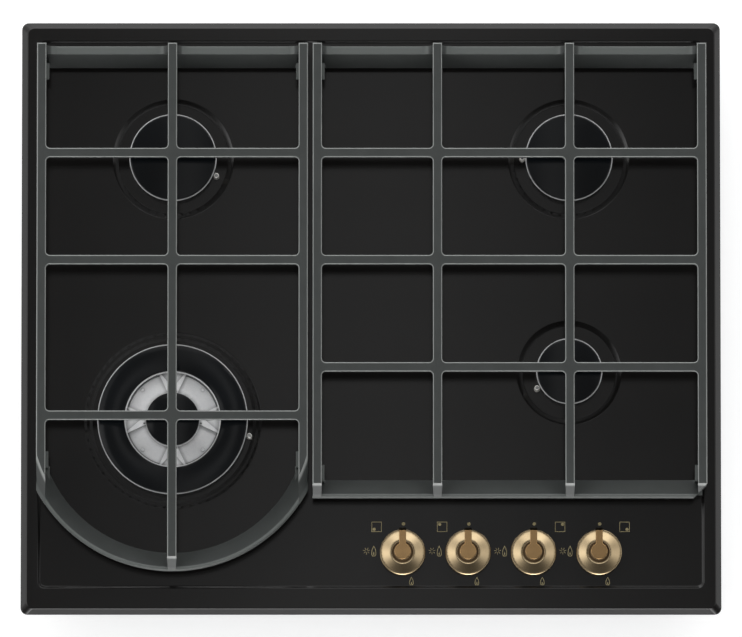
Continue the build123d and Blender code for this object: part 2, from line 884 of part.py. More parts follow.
with BuildPart() as wok_ring_cap:
    ring = wok_cap_radius - cap_ring - 2 * seat_gap
    shoulder = wok_seat + cap_edge - cap_round
    top_edge = wok_seat + cap_edge
    with BuildSketch(upright(wok_x, wok_y)):
        with BuildLine():
            Polyline(
                (wok_cap_hole, shoulder),
                (wok_cap_hole, wok_seat),
                (ring - cap_ring_wall, wok_seat),
                (ring - cap_ring_wall, wok_seat - cap_ring),
                (ring, wok_seat - cap_ring),
                (ring, wok_seat),
                (wok_cap_radius, wok_seat),
                (wok_cap_radius, shoulder),
            )
            TangentArc((wok_cap_radius, shoulder), (wok_cap_radius - cap_round, top_edge), tangent=(0, 1))
            ThreePointArc(
                (wok_cap_radius - cap_round, top_edge),
                ((wok_cap_radius + wok_cap_hole) / 2, wok_seat + ring_cap_crown),
                (wok_cap_hole + cap_round, top_edge),
            )
            TangentArc((wok_cap_hole, shoulder), (wok_cap_hole + cap_round, top_edge), tangent=(0, 1))
        make_face()
    revolve(axis=vertical(wok_x, wok_y))
keep(wok_ring_cap, "burner_cap_wok_ring")
wok_centre_cap = round_cap(wok_x, wok_y, wok_centre_radius, wok_seat, tower_inner - seat_gap)
keep(wok_centre_cap, "burner_cap_wok_centre")

# Jets, screws and electrodes
with BuildPart() as gas_jets:
    places = [(size["x"], size["y"]) for size in burners.values()]
    with BuildSketch(level(0, 0, jet_seat)):
        with Locations(*places):
            Circle(jet_thread)
    extrude(amount=bowl_floor + post_height - jet_seat)
    with BuildSketch(level(0, 0, bowl_floor + post_height)):
        with Locations(*places):
            RegularPolygon(jet_hex, 6)
    extrude(amount=jet_top - bowl_floor - post_height)
    with BuildSketch(level(0, 0, jet_seat)):
        with Locations(*places):
            Circle(jet_bore)
    extrude(amount=jet_top - jet_seat - jet_tip, mode=Mode.SUBTRACT)
    with BuildSketch(level(0, 0, jet_seat)):
        with Locations(*places):
            Circle(jet_nozzle)
    extrude(amount=jet_top - jet_seat, mode=Mode.SUBTRACT)
keep(gas_jets, "gas_jets")

with BuildPart() as burner_screws:
    for name, size in burners.items():
        with BuildSketch(level(0, 0, size["floor"])):
            with Locations(*screw_places(name)):
                Circle(screw_head)
        extrude(amount=screw_head_height)
        with BuildSketch(level(0, 0, size["floor"])):
            with Locations(*screw_places(name)):
                Circle(screw_radius)
        extrude(amount=-(screw_length + sheet - overlap))
        with BuildSketch(level(0, 0, size["floor"] + screw_head_height)):
            with Locations(*screw_places(name)):
                Rectangle(cross_length, cross_width)
                Rectangle(cross_width, cross_length)
        extrude(amount=-cross_depth, mode=Mode.SUBTRACT)
keep(burner_screws, "burner_screws")

with BuildPart() as spark_electrodes:
    for name, size in burners.items():
        x, y = electrode_places[name]
        tip = size["floor"] + ceramic_height
        shoulder = size["under"] - collar_height
        with BuildSketch(upright(x, y)):
            with BuildLine():
                Polyline(
                    (0, terminal_z),
                    (terminal_radius, terminal_z),
                    (terminal_radius, shoulder - tail_length),
                    (electrode_radius, shoulder - tail_length + glaze_round),
                    (electrode_radius, shoulder),
                    (collar_radius, shoulder),
                    (collar_radius, size["under"]),
                    (electrode_radius, size["under"]),
                    (electrode_radius, tip - glaze_round),
                    (electrode_radius - glaze_round, tip),
                    (pin_radius, tip),
                    (pin_radius, tip + pin_height),
                    (0, tip + pin_height),
                    close=True,
                )
            make_face()
        revolve(axis=vertical(x, y))
keep(spark_electrodes, "spark_electrodes")


# ------------------------------------------------------------------ knobs
knob_bottom = deck_z + knob_gap
skirt_top = knob_bottom + knob_skirt
ring_top = skirt_top + cone_rise
boss_top = skirt_top + boss_height
stem_top = boss_top - 6.5
hub_radius = 6.8
hub_bottom = knob_bottom + 2.0
pocket_radius = knob_radius - 2.0
pocket_top = skirt_top - 1.8
fit_gap = 0.03
flat_start = knob_bottom - 1.2
pointer_end = knob_radius + pointer_overhang
nub_height = 3.4


def knob(x):
    """Hollow knob: skirt, cone, raised ring and a boss with a pointer bar toward the back."""
    with BuildPart() as body:
        with BuildSketch(upright(x, knob_y)):
            with BuildLine():
                Polyline(
                    (0, hub_bottom),
                    (hub_radius, hub_bottom),
                    (hub_radius, pocket_top),
                    (pocket_radius, pocket_top),
                    (pocket_radius, knob_bottom),
                    (knob_radius - 0.4, knob_bottom),
                    (knob_radius, knob_bottom + 0.4),
                    (knob_radius, skirt_top - 0.5),
                    (knob_radius - 0.5, skirt_top),
                    (knob_radius - 1.3, skirt_top),
                    (ring_radius + 1.6, ring_top - 0.9),
                    (ring_radius + 0.5, ring_top - 0.6),
                    (ring_radius, ring_top),
                    (ring_radius - 1.4, ring_top + 0.3),
                    (boss_radius, ring_top + 0.3),
                    (boss_radius, boss_top),
                    (0, boss_top),
                    close=True,
                )
            make_face()
        revolve(axis=vertical(x, knob_y))
        with BuildSketch(Plane.YZ.offset(x - pointer_width / 2)):
            with BuildLine():
                Polyline(
                    (knob_y, skirt_top - 1.0),
                    (knob_y + pointer_end - 1.0, skirt_top - 1.0),
                    (knob_y + pointer_end, skirt_top),
                    (knob_y + pointer_end, skirt_top + nub_height),
                    (knob_y + knob_radius - 1.6, boss_top),
                    (knob_y, boss_top),
                    close=True,
                )
            make_face()
        extrude(amount=pointer_width)
        rim = body.edges().filter_by_position(Axis.Z, boss_top - 0.01, boss_top + 0.01)
        fillet(rim, 0.5)
        with BuildSketch(level(x, knob_y, hub_bottom)) as bore:
            Circle(stem_radius + fit_gap)
            with Locations((0, -stem_radius - stem_flat - fit_gap)):
                Rectangle(2 * stem_radius + 1, 2 * stem_radius, mode=Mode.SUBTRACT)
        extrude(amount=stem_top + 0.5 - hub_bottom, mode=Mode.SUBTRACT)
    return body


# ------------------------------------------------------------------ taps
manifold_top = manifold_bottom + manifold_height
body_top = 45.5
neck_top = 50.0
plug_bottom = manifold_top + 1.5
plug_top = 36.0
plug_small = 5.0
plug_large = 6.5
slot_length = 6.2
slot_width = 2.6
tongue_length = 6.0
tongue_width = 2.4
slot_bottom = plug_bottom + 1.5
tongue_bottom = plug_top - 5.0
port_radius = 1.5
collar_disc = 6.4
collar_thickness = 2.0
tap_chamber = 7.0
collar_bottom = body_top - collar_thickness
spring_outer = 6.2
spring_inner = 4.6
neck_radius = 8.5
tap_width = 22.0
tap_length = 24.0
ear_length = 37.6
ear_height = 4.0
ear_screw_x = 14.8
ear_screw_y = 6.2
tap_stub = 6.0


def tap_body(x):
    """Brass tap: square body with screw ears, cone seat, spring chamber, neck and outlet stub."""
    with BuildPart() as body:
        with BuildSketch(level(x, knob_y, manifold_top)):
            Rectangle(tap_width, tap_length)
        extrude(amount=body_top - manifold_top)
        fillet(body.edges().filter_by(Axis.Z), 2.0)
        with BuildSketch(level(x, knob_y, manifold_top)):
            RectangleRounded(ear_length, manifold_width, 2.0)
        extrude(amount=ear_height)
        with BuildSketch(level(x, knob_y, body_top)):
            Circle(neck_radius)
        extrude(amount=neck_top - body_top)
        with BuildSketch(upright(x, knob_y, 180)):
            with Locations((0, gas_level)):
                Circle(stub_radius)
        extrude(amount=tap_length / 2 + tap_stub)
        with BuildSketch(upright(x, knob_y)):
            with BuildLine():
                Polyline(
                    (0, manifold_top),
                    (port_radius, manifold_top),
                    (port_radius, plug_bottom - running),
                    (plug_small + running, plug_bottom - running),
                    (plug_large + running, plug_top),
                    (tap_chamber, plug_top),
                    (tap_chamber, body_top),
                    (stem_radius + running, body_top),
                    (stem_radius + running, neck_top),
                    (0, neck_top),
                    close=True,
                )
            make_face()
        revolve(axis=vertical(x, knob_y), mode=Mode.SUBTRACT)
        with BuildSketch(upright(x, knob_y, 180)):
            with Locations((0, gas_level)):
                Circle(gas_bore)
        extrude(amount=tap_length / 2 + tap_stub, mode=Mode.SUBTRACT)
        with BuildSketch(level(x, knob_y, manifold_top)):
            with Locations((-ear_screw_x, -ear_screw_y), (ear_screw_x, ear_screw_y)):
                Circle(m4_hole)
        extrude(amount=ear_height, mode=Mode.SUBTRACT)
    return body


def tap_plug(x):
    """Tapered plug: gas comes up its middle and leaves by one side port; off when it faces +X."""
    with BuildPart() as plug:
        with BuildSketch(upright(x, knob_y)):
            with BuildLine():
                small, large = (plug_small, plug_bottom), (plug_large, plug_top)
                Polyline((0, plug_bottom), small, large, (0, plug_top), close=True)
            make_face()
        revolve(axis=vertical(x, knob_y))
        with BuildSketch(level(x, knob_y, slot_bottom)):
            Rectangle(slot_length, slot_width)
        extrude(amount=plug_top - slot_bottom, mode=Mode.SUBTRACT)
        with BuildSketch(level(x, knob_y, plug_bottom)):
            Circle(port_radius - 0.3)
        extrude(amount=slot_bottom - plug_bottom, mode=Mode.SUBTRACT)
        with BuildSketch(upright(x, knob_y, 90)):
            with Locations((0, gas_level)):
                Circle(port_radius)
        extrude(amount=plug_large + 1, mode=Mode.SUBTRACT)
    return plug


def return_spring(x):
    """Coil spring under the stem's collar, drawn as a plain sleeve."""
    with BuildPart() as spring:
        with BuildSketch(level(x, knob_y, plug_top)):
            Circle(spring_outer)
            Circle(spring_inner, mode=Mode.SUBTRACT)
        extrude(amount=collar_bottom - plug_top)
    return spring


def tap_stem(x):
    """Stem: tongue in the plug, collar on the spring, flatted top in the knob."""
    with BuildPart() as stem:
        with BuildSketch(level(x, knob_y, collar_bottom)):
            Circle(stem_radius)
        extrude(amount=stem_top - collar_bottom)
        chamfer(stem.faces().sort_by(Axis.Z)[-1].edges(), 0.5)
        with BuildSketch(level(x, knob_y, collar_bottom)):
            Circle(collar_disc)
        extrude(amount=collar_thickness)
        with BuildSketch(level(x, knob_y, tongue_bottom)):
            Rectangle(tongue_length, tongue_width)
        extrude(amount=collar_bottom - tongue_bottom)
        with BuildSketch(level(x, knob_y, flat_start)):
            with Locations((0, -stem_radius - stem_flat)):
                Rectangle(2 * stem_radius + 1, 2 * stem_radius)
        extrude(amount=stem_top - flat_start + 1, mode=Mode.SUBTRACT)
    return stem


for name, x in zip(knob_burners, knob_places):
    keep(tap_body(x), f"tap_body_{name}")
    keep(tap_plug(x), f"tap_plug_{name}")
    keep(return_spring(x), f"return_spring_{name}")
    keep(tap_stem(x), f"tap_stem_{name}")
    keep(knob(x), f"knob_{name}")

seal_flange = 9.0
seal_bore = stem_radius + 0.4
seal_thickness = 1.8
with BuildPart() as stem_seals:
    for x in knob_places:
        with BuildSketch(upright(x, knob_y)):
            with BuildLine():
                Polyline(
                    (seal_bore, deck_under - 1.0),
                    (stem_hole - 0.1, deck_under - 1.0),
                    (stem_hole - 0.1, deck_z),
                    (seal_flange, deck_z),
                    (seal_flange - 0.8, deck_z + seal_thickness),
                    (seal_bore, deck_z + seal_thickness),
                    close=True,
                )
            make_face()
        revolve(axis=vertical(x, knob_y))
keep(stem_seals, "stem_seals")

tap_screw_places = [
    (x + side * ear_screw_x, knob_y + side * ear_screw_y) for x in knob_places for side in (-1, 1)
]
with BuildPart() as tap_screws:
    with BuildSketch(level(0, 0, manifold_top + ear_height)):
        with Locations(*tap_screw_places):
            Circle(m4_head)
    extrude(amount=m4_head_height)
    with BuildSketch(level(0, 0, manifold_top + ear_height)):
        with Locations(*tap_screw_places):
            Circle(m4_radius)
    extrude(amount=-(ear_height + tap_screw_grip))
    with BuildSketch(level(0, 0, manifold_top + ear_height + m4_head_height)):
        with Locations(*tap_screw_places):
            RegularPolygon(1.7, 6)
    extrude(amount=-1.4, mode=Mode.SUBTRACT)
keep(tap_screws, "tap_screws")

# ------------------------------------------------------------------ gas manifold, inlet and burner pipes
manifold_start = first_knob_x - manifold_end
manifold_stop = knob_places[-1] + manifold_end
with BuildPart() as gas_manifold:
    with BuildSketch(Plane.YZ.offset(manifold_start)):
        with Locations((knob_y, manifold_bottom + manifold_height / 2)):
            Rectangle(manifold_width, manifold_height)
    extrude(amount=manifold_stop - manifold_start)
    chamfer(gas_manifold.edges().filter_by(Axis.X), 0.8)
    with BuildSketch(level(0, 0, tray_sheet)):
        with Locations((manifold_start + manifold_foot, knob_y), (manifold_stop - manifold_foot, knob_y)):
            Rectangle(manifold_foot, manifold_width - manifold_foot / 2)
    extrude(amount=manifold_bottom - tray_sheet + overlap)
    with BuildSketch(Plane.YZ.offset(manifold_start + manifold_wall)):
        with Locations((knob_y, manifold_bottom + manifold_height / 2)):
            Circle(manifold_bore)
    extrude(amount=manifold_stop - manifold_start - manifold_wall, mode=Mode.SUBTRACT)
    with BuildSketch(level(0, 0, manifold_top)):
        with Locations(*[(x, knob_y) for x in knob_places]):
            Circle(port_radius)
    extrude(amount=-manifold_height / 2, mode=Mode.SUBTRACT)
    with BuildSketch(level(0, 0, manifold_top)):
        with Locations(*tap_screw_places):
            Circle(m4_radius)
    extrude(amount=-tap_screw_grip - 1, mode=Mode.SUBTRACT)
keep(gas_manifold, "gas_manifold")

inlet_level = manifold_bottom + manifold_height / 2
wall_inside = tray_rear - tray_sheet
fitting_front = wall_inside - inlet_hex_depth
with BuildPart() as inlet_pipe:
    with BuildLine(level(0, 0, inlet_level)) as run:
        FilletPolyline(
            (manifold_stop, knob_y), (inlet_x, knob_y), (inlet_x, fitting_front), radius=inlet_bend
        )
    with BuildSketch(Plane(run.line ^ 0)):
        Circle(inlet_radius)
        Circle(inlet_bore, mode=Mode.SUBTRACT)
    sweep()
keep(inlet_pipe, "inlet_pipe")

# Half-inch parallel thread through the rear wall, held by a locknut outside
with BuildPart() as gas_inlet:
    with BuildSketch(Plane(origin=(inlet_x, fitting_front, inlet_level), z_dir=(0, 1, 0))):
        RegularPolygon(inlet_flats / 2, 6, major_radius=False)
    extrude(amount=inlet_hex_depth)
    with BuildSketch(Plane(origin=(inlet_x, wall_inside, inlet_level), z_dir=(0, 1, 0))):
        Circle(inlet_thread_radius)
    extrude(amount=tray_sheet + locknut_depth + inlet_thread_length)
    chamfer(gas_inlet.faces().sort_by(Axis.Y)[-1].edges(), 0.8)
    with BuildSketch(Plane(origin=(inlet_x, tray_rear, inlet_level), z_dir=(0, 1, 0))):
        RegularPolygon(locknut_flats / 2, 6, major_radius=False)
        Circle(inlet_thread_radius, mode=Mode.SUBTRACT)
    extrude(amount=locknut_depth)
    with BuildSketch(Plane(origin=(inlet_x, fitting_front, inlet_level), z_dir=(0, 1, 0))):
        Circle(inlet_bore)
    extrude(amount=inlet_hex_depth + tray_sheet + locknut_depth + inlet_thread_length, mode=Mode.SUBTRACT)
keep(gas_inlet, "gas_inlet")

tap_outlet = knob_y + tap_length / 2 + tap_stub
wok_entry = wok_x + wok_burner["bowl"] + stub_reach
left_entry = -burner_side + medium_burners["rear_left"]["bowl"] + stub_reach
right_entry = rear_burner_y - medium_burners["rear_right"]["bowl"] - stub_reach
small_entry = small_burner_y - small_burner["bowl"] - stub_reach
knob_x = dict(zip(knob_burners, knob_places))
bypass_x = burner_side - small_bypass
pipe_runs = {
    "wok": [(knob_x["wok"], tap_outlet), (knob_x["wok"], wok_y), (wok_entry, wok_y)],
    "rear_left": [
        (knob_x["rear_left"], tap_outlet), (knob_x["rear_left"], rear_burner_y), (left_entry, rear_burner_y)
    ],
    "rear_right": [
        (knob_x["rear_right"], tap_outlet),
        (knob_x["rear_right"], tap_outlet + pipe_lead),
        (bypass_x, tap_outlet + pipe_lead + pipe_shift),
        (bypass_x, right_entry - pipe_lead - pipe_shift),
        (burner_side, right_entry - pipe_lead),
        (burner_side, right_entry),
    ],
    "front_right": [
        (knob_x["front_right"], tap_outlet),
        (knob_x["front_right"], tap_outlet + pipe_lead),
        (burner_side, small_entry - pipe_lead),
        (burner_side, small_entry),
    ],
}
for name, points in pipe_runs.items():
    with BuildPart() as burner_pipe:
        with BuildLine(level(0, 0, gas_level)) as run:
            FilletPolyline(*points, radius=pipe_bend)
        with BuildSketch(Plane(run.line ^ 0)):
            Circle(pipe_radius)
            Circle(pipe_bore, mode=Mode.SUBTRACT)
        sweep()
    keep(burner_pipe, f"burner_pipe_{name}")

nut_places = [(x, tap_outlet, 90.0) for x in knob_places]
nut_places += [(wok_entry, wok_y, 0.0), (left_entry, rear_burner_y, 0.0)]
nut_places += [(burner_side, right_entry, 270.0), (burner_side, small_entry, 270.0)]
with BuildPart() as pipe_nuts:
    for x, y, turn in nut_places:
        heading = (cos(radians(turn)), sin(radians(turn)), 0)
        start = (x - nut_grip * heading[0], y - nut_grip * heading[1], gas_level)
        with BuildSketch(Plane(origin=start, x_dir=(0, 0, 1), z_dir=heading)):
            RegularPolygon(nut_flats / 2, 6, major_radius=False)
            Circle(stub_radius, mode=Mode.SUBTRACT)
        extrude(amount=nut_grip)
        with BuildSketch(Plane(origin=(x, y, gas_level), x_dir=(0, 0, 1), z_dir=heading)):
            RegularPolygon(nut_flats / 2, 6, major_radius=False)
            Circle(pipe_radius + running, mode=Mode.SUBTRACT)
        extrude(amount=nut_grip + nut_collar)
keep(pipe_nuts, "pipe_nuts")

# ------------------------------------------------------------------ tray, fixings and clamps
tray_length = tray_front + tray_rear
tray_y = (tray_rear - tray_front) / 2
stud_side = tray_width / 2 + tray_flange / 2
stud_x = tray_width / 2 - stud_end
stud_y = tray_length / 2 - stud_end
stud_places = [(side * stud_side, tray_y + row * stud_y) for side in (-1, 1) for row in (-1, 0, 1)]
stud_places += [(row * stud_x, -tray_front - tray_flange / 2) for row in (-1, 0, 1)]
stud_places += [(row * stud_x, tray_rear + tray_flange / 2) for row in (-1, 0, 1)]
clamp_ys = (tray_y + clamp_end - tray_length / 2, tray_y - clamp_end + tray_length / 2)
with BuildPart() as bottom_tray:
    with BuildSketch(level(0, tray_y)):
        RectangleRounded(tray_width, tray_length, tray_corner)
    extrude(amount=deck_under)
    with BuildSketch(level(0, tray_y, deck_under - tray_sheet)):
        RectangleRounded(
            tray_width + 2 * tray_flange, tray_length + 2 * tray_flange, tray_corner + tray_flange
        )
    extrude(amount=tray_sheet)
    with BuildSketch(level(0, tray_y, tray_sheet)):
        RectangleRounded(tray_width - 2 * tray_sheet, tray_length - 2 * tray_sheet, tray_corner - tray_sheet)
    extrude(amount=deck_under, mode=Mode.SUBTRACT)
    with BuildSketch(level(0, 0, deck_under)):
        with Locations(*stud_places):
            Circle(m4_hole)
    extrude(amount=-2 * tray_sheet, mode=Mode.SUBTRACT)
    with BuildSketch(Plane(origin=(0, wall_inside, 0), x_dir=(1, 0, 0), z_dir=(0, -1, 0))):
        with Locations((inlet_x, inlet_level)):
            Circle(inlet_thread_radius + inlet_play)
        with Locations((gland_x, gland_level)):
            Circle(gland_neck + gland_play)
    extrude(amount=-2 * tray_sheet, mode=Mode.SUBTRACT)
    with BuildSketch(Plane.YZ.offset(-tray_width / 2 - 1)):
        with Locations(*[(y, clamp_screw_z) for y in clamp_ys]):
            Circle(m4_hole)
    extrude(amount=tray_width + 2, mode=Mode.SUBTRACT)
keep(bottom_tray, "bottom_tray")

with BuildPart() as tray_fixings:
    with BuildSketch(level(0, 0, deck_under)):
        with Locations(*stud_places):
            Circle(m4_radius)
    extrude(amount=-stud_length)
    with BuildSketch(level(0, 0, deck_under - tray_sheet)):
        with Locations(*stud_places):
            RegularPolygon(m4_flats / 2, 6, major_radius=False)
    extrude(amount=-m4_nut_height)
keep(tray_fixings, "tray_fixings")

with BuildPart() as worktop_clamps:
    for y in clamp_ys:
        for side in (-1, 1):
            near = side * tray_width / 2
            heel = near + side * clamp_sheet
            toe = near + side * clamp_reach
            with BuildSketch(Plane.XZ.offset(-y - clamp_width / 2)):
                with BuildLine():
                    Polyline(
                        (near, clamp_low),
                        (toe, clamp_low),
                        (toe, clamp_low + clamp_sheet),
                        (heel, clamp_low + clamp_sheet),
                        (heel, clamp_high),
                        (near, clamp_high),
                        close=True,
                    )
                make_face()
            extrude(amount=clamp_width)
    with BuildSketch(Plane.YZ.offset(-tray_width)):
        with Locations(*[(y, clamp_screw_z) for y in clamp_ys]):
            Circle(m4_hole)
    extrude(amount=2 * tray_width, mode=Mode.SUBTRACT)
keep(worktop_clamps, "worktop_clamps")

with BuildPart() as clamp_screws:
    for side in (-1, 1):
        outward = Plane(
            origin=(side * (tray_width / 2 + clamp_sheet), 0, 0), x_dir=(0, side, 0), z_dir=(side, 0, 0)
        )
        inward = Plane(
            origin=(side * (tray_width / 2 - tray_sheet), 0, 0), x_dir=(0, -side, 0), z_dir=(-side, 0, 0)
        )
        with BuildSketch(outward):
            with Locations(*[(side * y, clamp_screw_z) for y in clamp_ys]):
                Circle(m4_head)
        extrude(amount=m4_head_height)
        with BuildSketch(outward):
            with Locations(*[(side * y, clamp_screw_z) for y in clamp_ys]):
                Circle(m4_radius)
        extrude(amount=-(clamp_sheet + tray_sheet + m4_nut_height + 1.0))
        with BuildSketch(inward):
            with Locations(*[(-side * y, clamp_screw_z) for y in clamp_ys]):
                RegularPolygon(m4_flats / 2, 6, major_radius=False)
        extrude(amount=m4_nut_height)
keep(clamp_screws, "clamp_screws")

# ------------------------------------------------------------------ ignition and cable gland
generator_front = generator_y - generator_depth / 2
spigot_rows = (generator_y - 1.5 * spigot_pitch, generator_y - 0.5 * spigot_pitch)
with BuildPart() as spark_generator:
    with BuildSketch(level(generator_x, generator_y, tray_sheet)):
        RectangleRounded(generator_width, generator_depth, 3.0)
    extrude(amount=generator_height)
    fillet(spark_generator.faces().sort_by(Axis.Z)[-1].edges(), 1.0)
    for side in (-1, 1):
        with BuildSketch(upright(generator_x, 0, 90 * side)):
            with Locations(*[(side * y, lead_level) for y in spigot_rows]):
                Circle(spigot_radius)
        extrude(amount=generator_width / 2 + spigot_length)
    with BuildSketch(upright(generator_x, generator_y)):
        with Locations((0, lead_level)):
            Circle(spigot_radius)
    extrude(amount=generator_depth / 2 + spigot_length)
keep(spark_generator, "spark_generator")

left_plug = generator_x - generator_width / 2 - spigot_length
right_plug = generator_x + generator_width / 2 + spigot_length
near_row, far_row = spigot_rows
lead_runs = {
    "rear_left": [(left_plug, far_row), (left_plug - lead_start, far_row)],
    "wok": [
        (left_plug, near_row),
        (left_plug - lead_start / 2, near_row),
        (electrode_places["wok"][0], near_row - 2 * lead_start),
    ],
    "rear_right": [(right_plug, far_row), (right_plug + lead_start, far_row)],
    "front_right": [
        (right_plug, near_row),
        (right_plug + lead_start / 2, near_row),
        (right_plug + 3 * lead_start, near_row - 3 * lead_start),
    ],
}
switch_side = tap_width / 2 + switch_width / 2
loom_y = knob_y - tap_length / 2 - loom_gap
with BuildPart() as ignition_leads:
    for name, points in lead_runs.items():
        end = electrode_places[name]
        spots = [(x, y, lead_level) for x, y in points] + [(*end, lead_level), (*end, terminal_z)]
        with BuildLine() as run:
            FilletPolyline(*spots, radius=lead_bend)
        with BuildSketch(Plane(run.line ^ 0)):
            Circle(lead_radius)
        sweep()
    # Low-voltage loom of the four switches
    last = knob_places[-1] - switch_side
    with BuildLine() as run:
        FilletPolyline(
            (last, knob_y - switch_length / 2, switch_level),
            (last, loom_y, switch_level),
            (generator_x, loom_y, switch_level),
            (generator_x, loom_y, lead_level),
            (generator_x, generator_front - spigot_length, lead_level),
            radius=lead_bend / 2,
        )
    with BuildSketch(Plane(run.line ^ 0)):
        Circle(loom_radius)
    sweep()
    with BuildSketch(upright(0, knob_y - switch_length / 2)):
        with Locations(*[(x - switch_side, switch_level) for x in knob_places[:-1]]):
            Circle(loom_radius)
    extrude(amount=knob_y - switch_length / 2 - loom_y)
keep(ignition_leads, "ignition_leads")

with BuildPart() as ignition_switches:
    with BuildSketch(level(0, 0, switch_level - switch_height / 2)):
        with Locations(*[(x - switch_side, knob_y) for x in knob_places]):
            Rectangle(switch_width, switch_length)
    extrude(amount=switch_height)
keep(ignition_switches, "ignition_switches")

with BuildPart() as cable_gland:
    with BuildSketch(Plane(origin=(0, wall_inside, 0), x_dir=(-1, 0, 0), z_dir=(0, 1, 0))):
        with Locations((-gland_x, gland_level)):
            Circle(gland_neck)
    extrude(amount=tray_sheet)
    for plane_y, direction in ((wall_inside, -1), (tray_rear, 1)):
        with BuildSketch(Plane(origin=(0, plane_y, 0), x_dir=(-direction, 0, 0), z_dir=(0, direction, 0))):
            with Locations((-direction * gland_x, gland_level)):
                Circle(gland_flange)
        extrude(amount=gland_thickness)
    gland_front = (0, wall_inside - 2 * gland_thickness, 0)
    with BuildSketch(Plane(origin=gland_front, x_dir=(-1, 0, 0), z_dir=(0, 1, 0))):
        with Locations((-gland_x, gland_level)):
            Circle(gland_bore)
    extrude(amount=tray_sheet + 4 * gland_thickness, mode=Mode.SUBTRACT)
keep(cable_gland, "cable_gland")
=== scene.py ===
"""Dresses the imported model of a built-in gas cooktop and sets it on a pale floor."""
import json
from math import cos, hypot, pi, radians, sin

import bmesh
import bpy
from mathutils import Matrix, Vector


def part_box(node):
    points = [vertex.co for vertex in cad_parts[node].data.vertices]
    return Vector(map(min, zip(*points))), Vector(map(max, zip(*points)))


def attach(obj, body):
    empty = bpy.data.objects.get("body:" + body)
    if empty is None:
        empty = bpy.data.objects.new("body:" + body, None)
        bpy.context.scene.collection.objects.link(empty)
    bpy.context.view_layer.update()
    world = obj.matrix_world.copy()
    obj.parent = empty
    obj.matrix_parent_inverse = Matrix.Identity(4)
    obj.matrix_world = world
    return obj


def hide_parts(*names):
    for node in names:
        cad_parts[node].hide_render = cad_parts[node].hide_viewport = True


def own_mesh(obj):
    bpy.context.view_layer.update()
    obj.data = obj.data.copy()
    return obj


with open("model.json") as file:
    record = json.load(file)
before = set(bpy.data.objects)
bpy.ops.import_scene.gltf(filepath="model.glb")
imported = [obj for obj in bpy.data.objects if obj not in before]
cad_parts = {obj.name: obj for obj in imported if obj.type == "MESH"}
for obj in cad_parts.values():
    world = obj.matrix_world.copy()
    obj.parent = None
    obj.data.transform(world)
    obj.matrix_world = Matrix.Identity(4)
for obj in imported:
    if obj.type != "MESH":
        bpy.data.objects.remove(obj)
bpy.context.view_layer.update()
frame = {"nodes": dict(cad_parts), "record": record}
nodes = frame["nodes"]

# ---------------------------------------------------------------- bottom tray and its clamps
# A shallow tray folded from galvanised sheet, hung on studs under the plate. Four bent
# straps of thicker galvanised steel are screwed to its sides and grip the worktop from below.
MM = 0.001


def linear(code):
    """The linear colour of an sRGB hex value."""
    parts = [int(code[place:place + 2], 16) / 255 for place in (0, 2, 4)]
    curve = [part / 12.92 if part <= 0.04045 else ((part + 0.055) / 1.055) ** 2.4 for part in parts]
    return (*curve, 1.0)


def add(tree, kind, inputs=None, **settings):
    """Adds a node. Inputs map a socket's name or number to a value or another node's output."""
    made = tree.nodes.new(kind)
    for name, value in settings.items():
        setattr(made, name, value)
    for key, value in (inputs or {}).items():
        if isinstance(value, bpy.types.NodeSocket):
            tree.links.new(value, made.inputs[key])
        else:
            made.inputs[key].default_value = value
    return made


def new_finish(name, **sockets):
    """A material, its node tree and its shader, with uniform values on the shader's sockets."""
    material = bpy.data.materials.new(name)
    material.use_nodes = True
    tree = material.node_tree
    shader = tree.nodes["Principled BSDF"]
    for key, value in sockets.items():
        shader.inputs[key.replace("_", " ")].default_value = value
    return material, tree, shader


def vary(tree, shader, size, light, dark, rough):
    """Shade and roughness that drift over the surface, in patches of a size in metres."""
    place = add(tree, "ShaderNodeTexCoord").outputs["Object"]
    patch = add(tree, "ShaderNodeTexNoise", {"Vector": place, "Scale": 1 / size, "Detail": 3.0})
    shade = add(tree, "ShaderNodeMix", {"Factor": patch.outputs["Fac"]}, data_type="RGBA")
    shade.inputs[6].default_value = linear(dark)
    shade.inputs[7].default_value = linear(light)
    tree.links.new(shade.outputs[2], shader.inputs["Base Color"])
    span = {"Value": patch.outputs["Fac"], "To Min": rough[0], "To Max": rough[1]}
    gloss = add(tree, "ShaderNodeMapRange", span)
    tree.links.new(gloss.outputs["Result"], shader.inputs["Roughness"])
    return place


def paint(node, material):
    """Gives a CAD node a finish."""
    for slot in nodes[node].material_slots:
        slot.material = material


# Hot-dip galvanised steel sheet: zinc crystals some 12 mm wide, each a little lighter or darker.
spangle_size = 12 * MM
galvanised, tree, shader = new_finish("galvanised_steel_sheet", Metallic=1.0)
place = vary(tree, shader, 3 * spangle_size, "B9BDC0", "9DA1A5", (0.34, 0.46))
crystals = {"Vector": place, "Scale": 1 / spangle_size}
spangle = add(tree, "ShaderNodeTexVoronoi", crystals, feature="F1")
cell = add(tree, "ShaderNodeSeparateColor", {"Color": spangle.outputs["Color"]})
relief = add(tree, "ShaderNodeBump", {"Height": cell.outputs["Red"], "Distance": 0.02 * MM})
tree.links.new(relief.outputs["Normal"], shader.inputs["Normal"])
for node in ("bottom_tray", "worktop_clamps"):
    paint(node, galvanised)

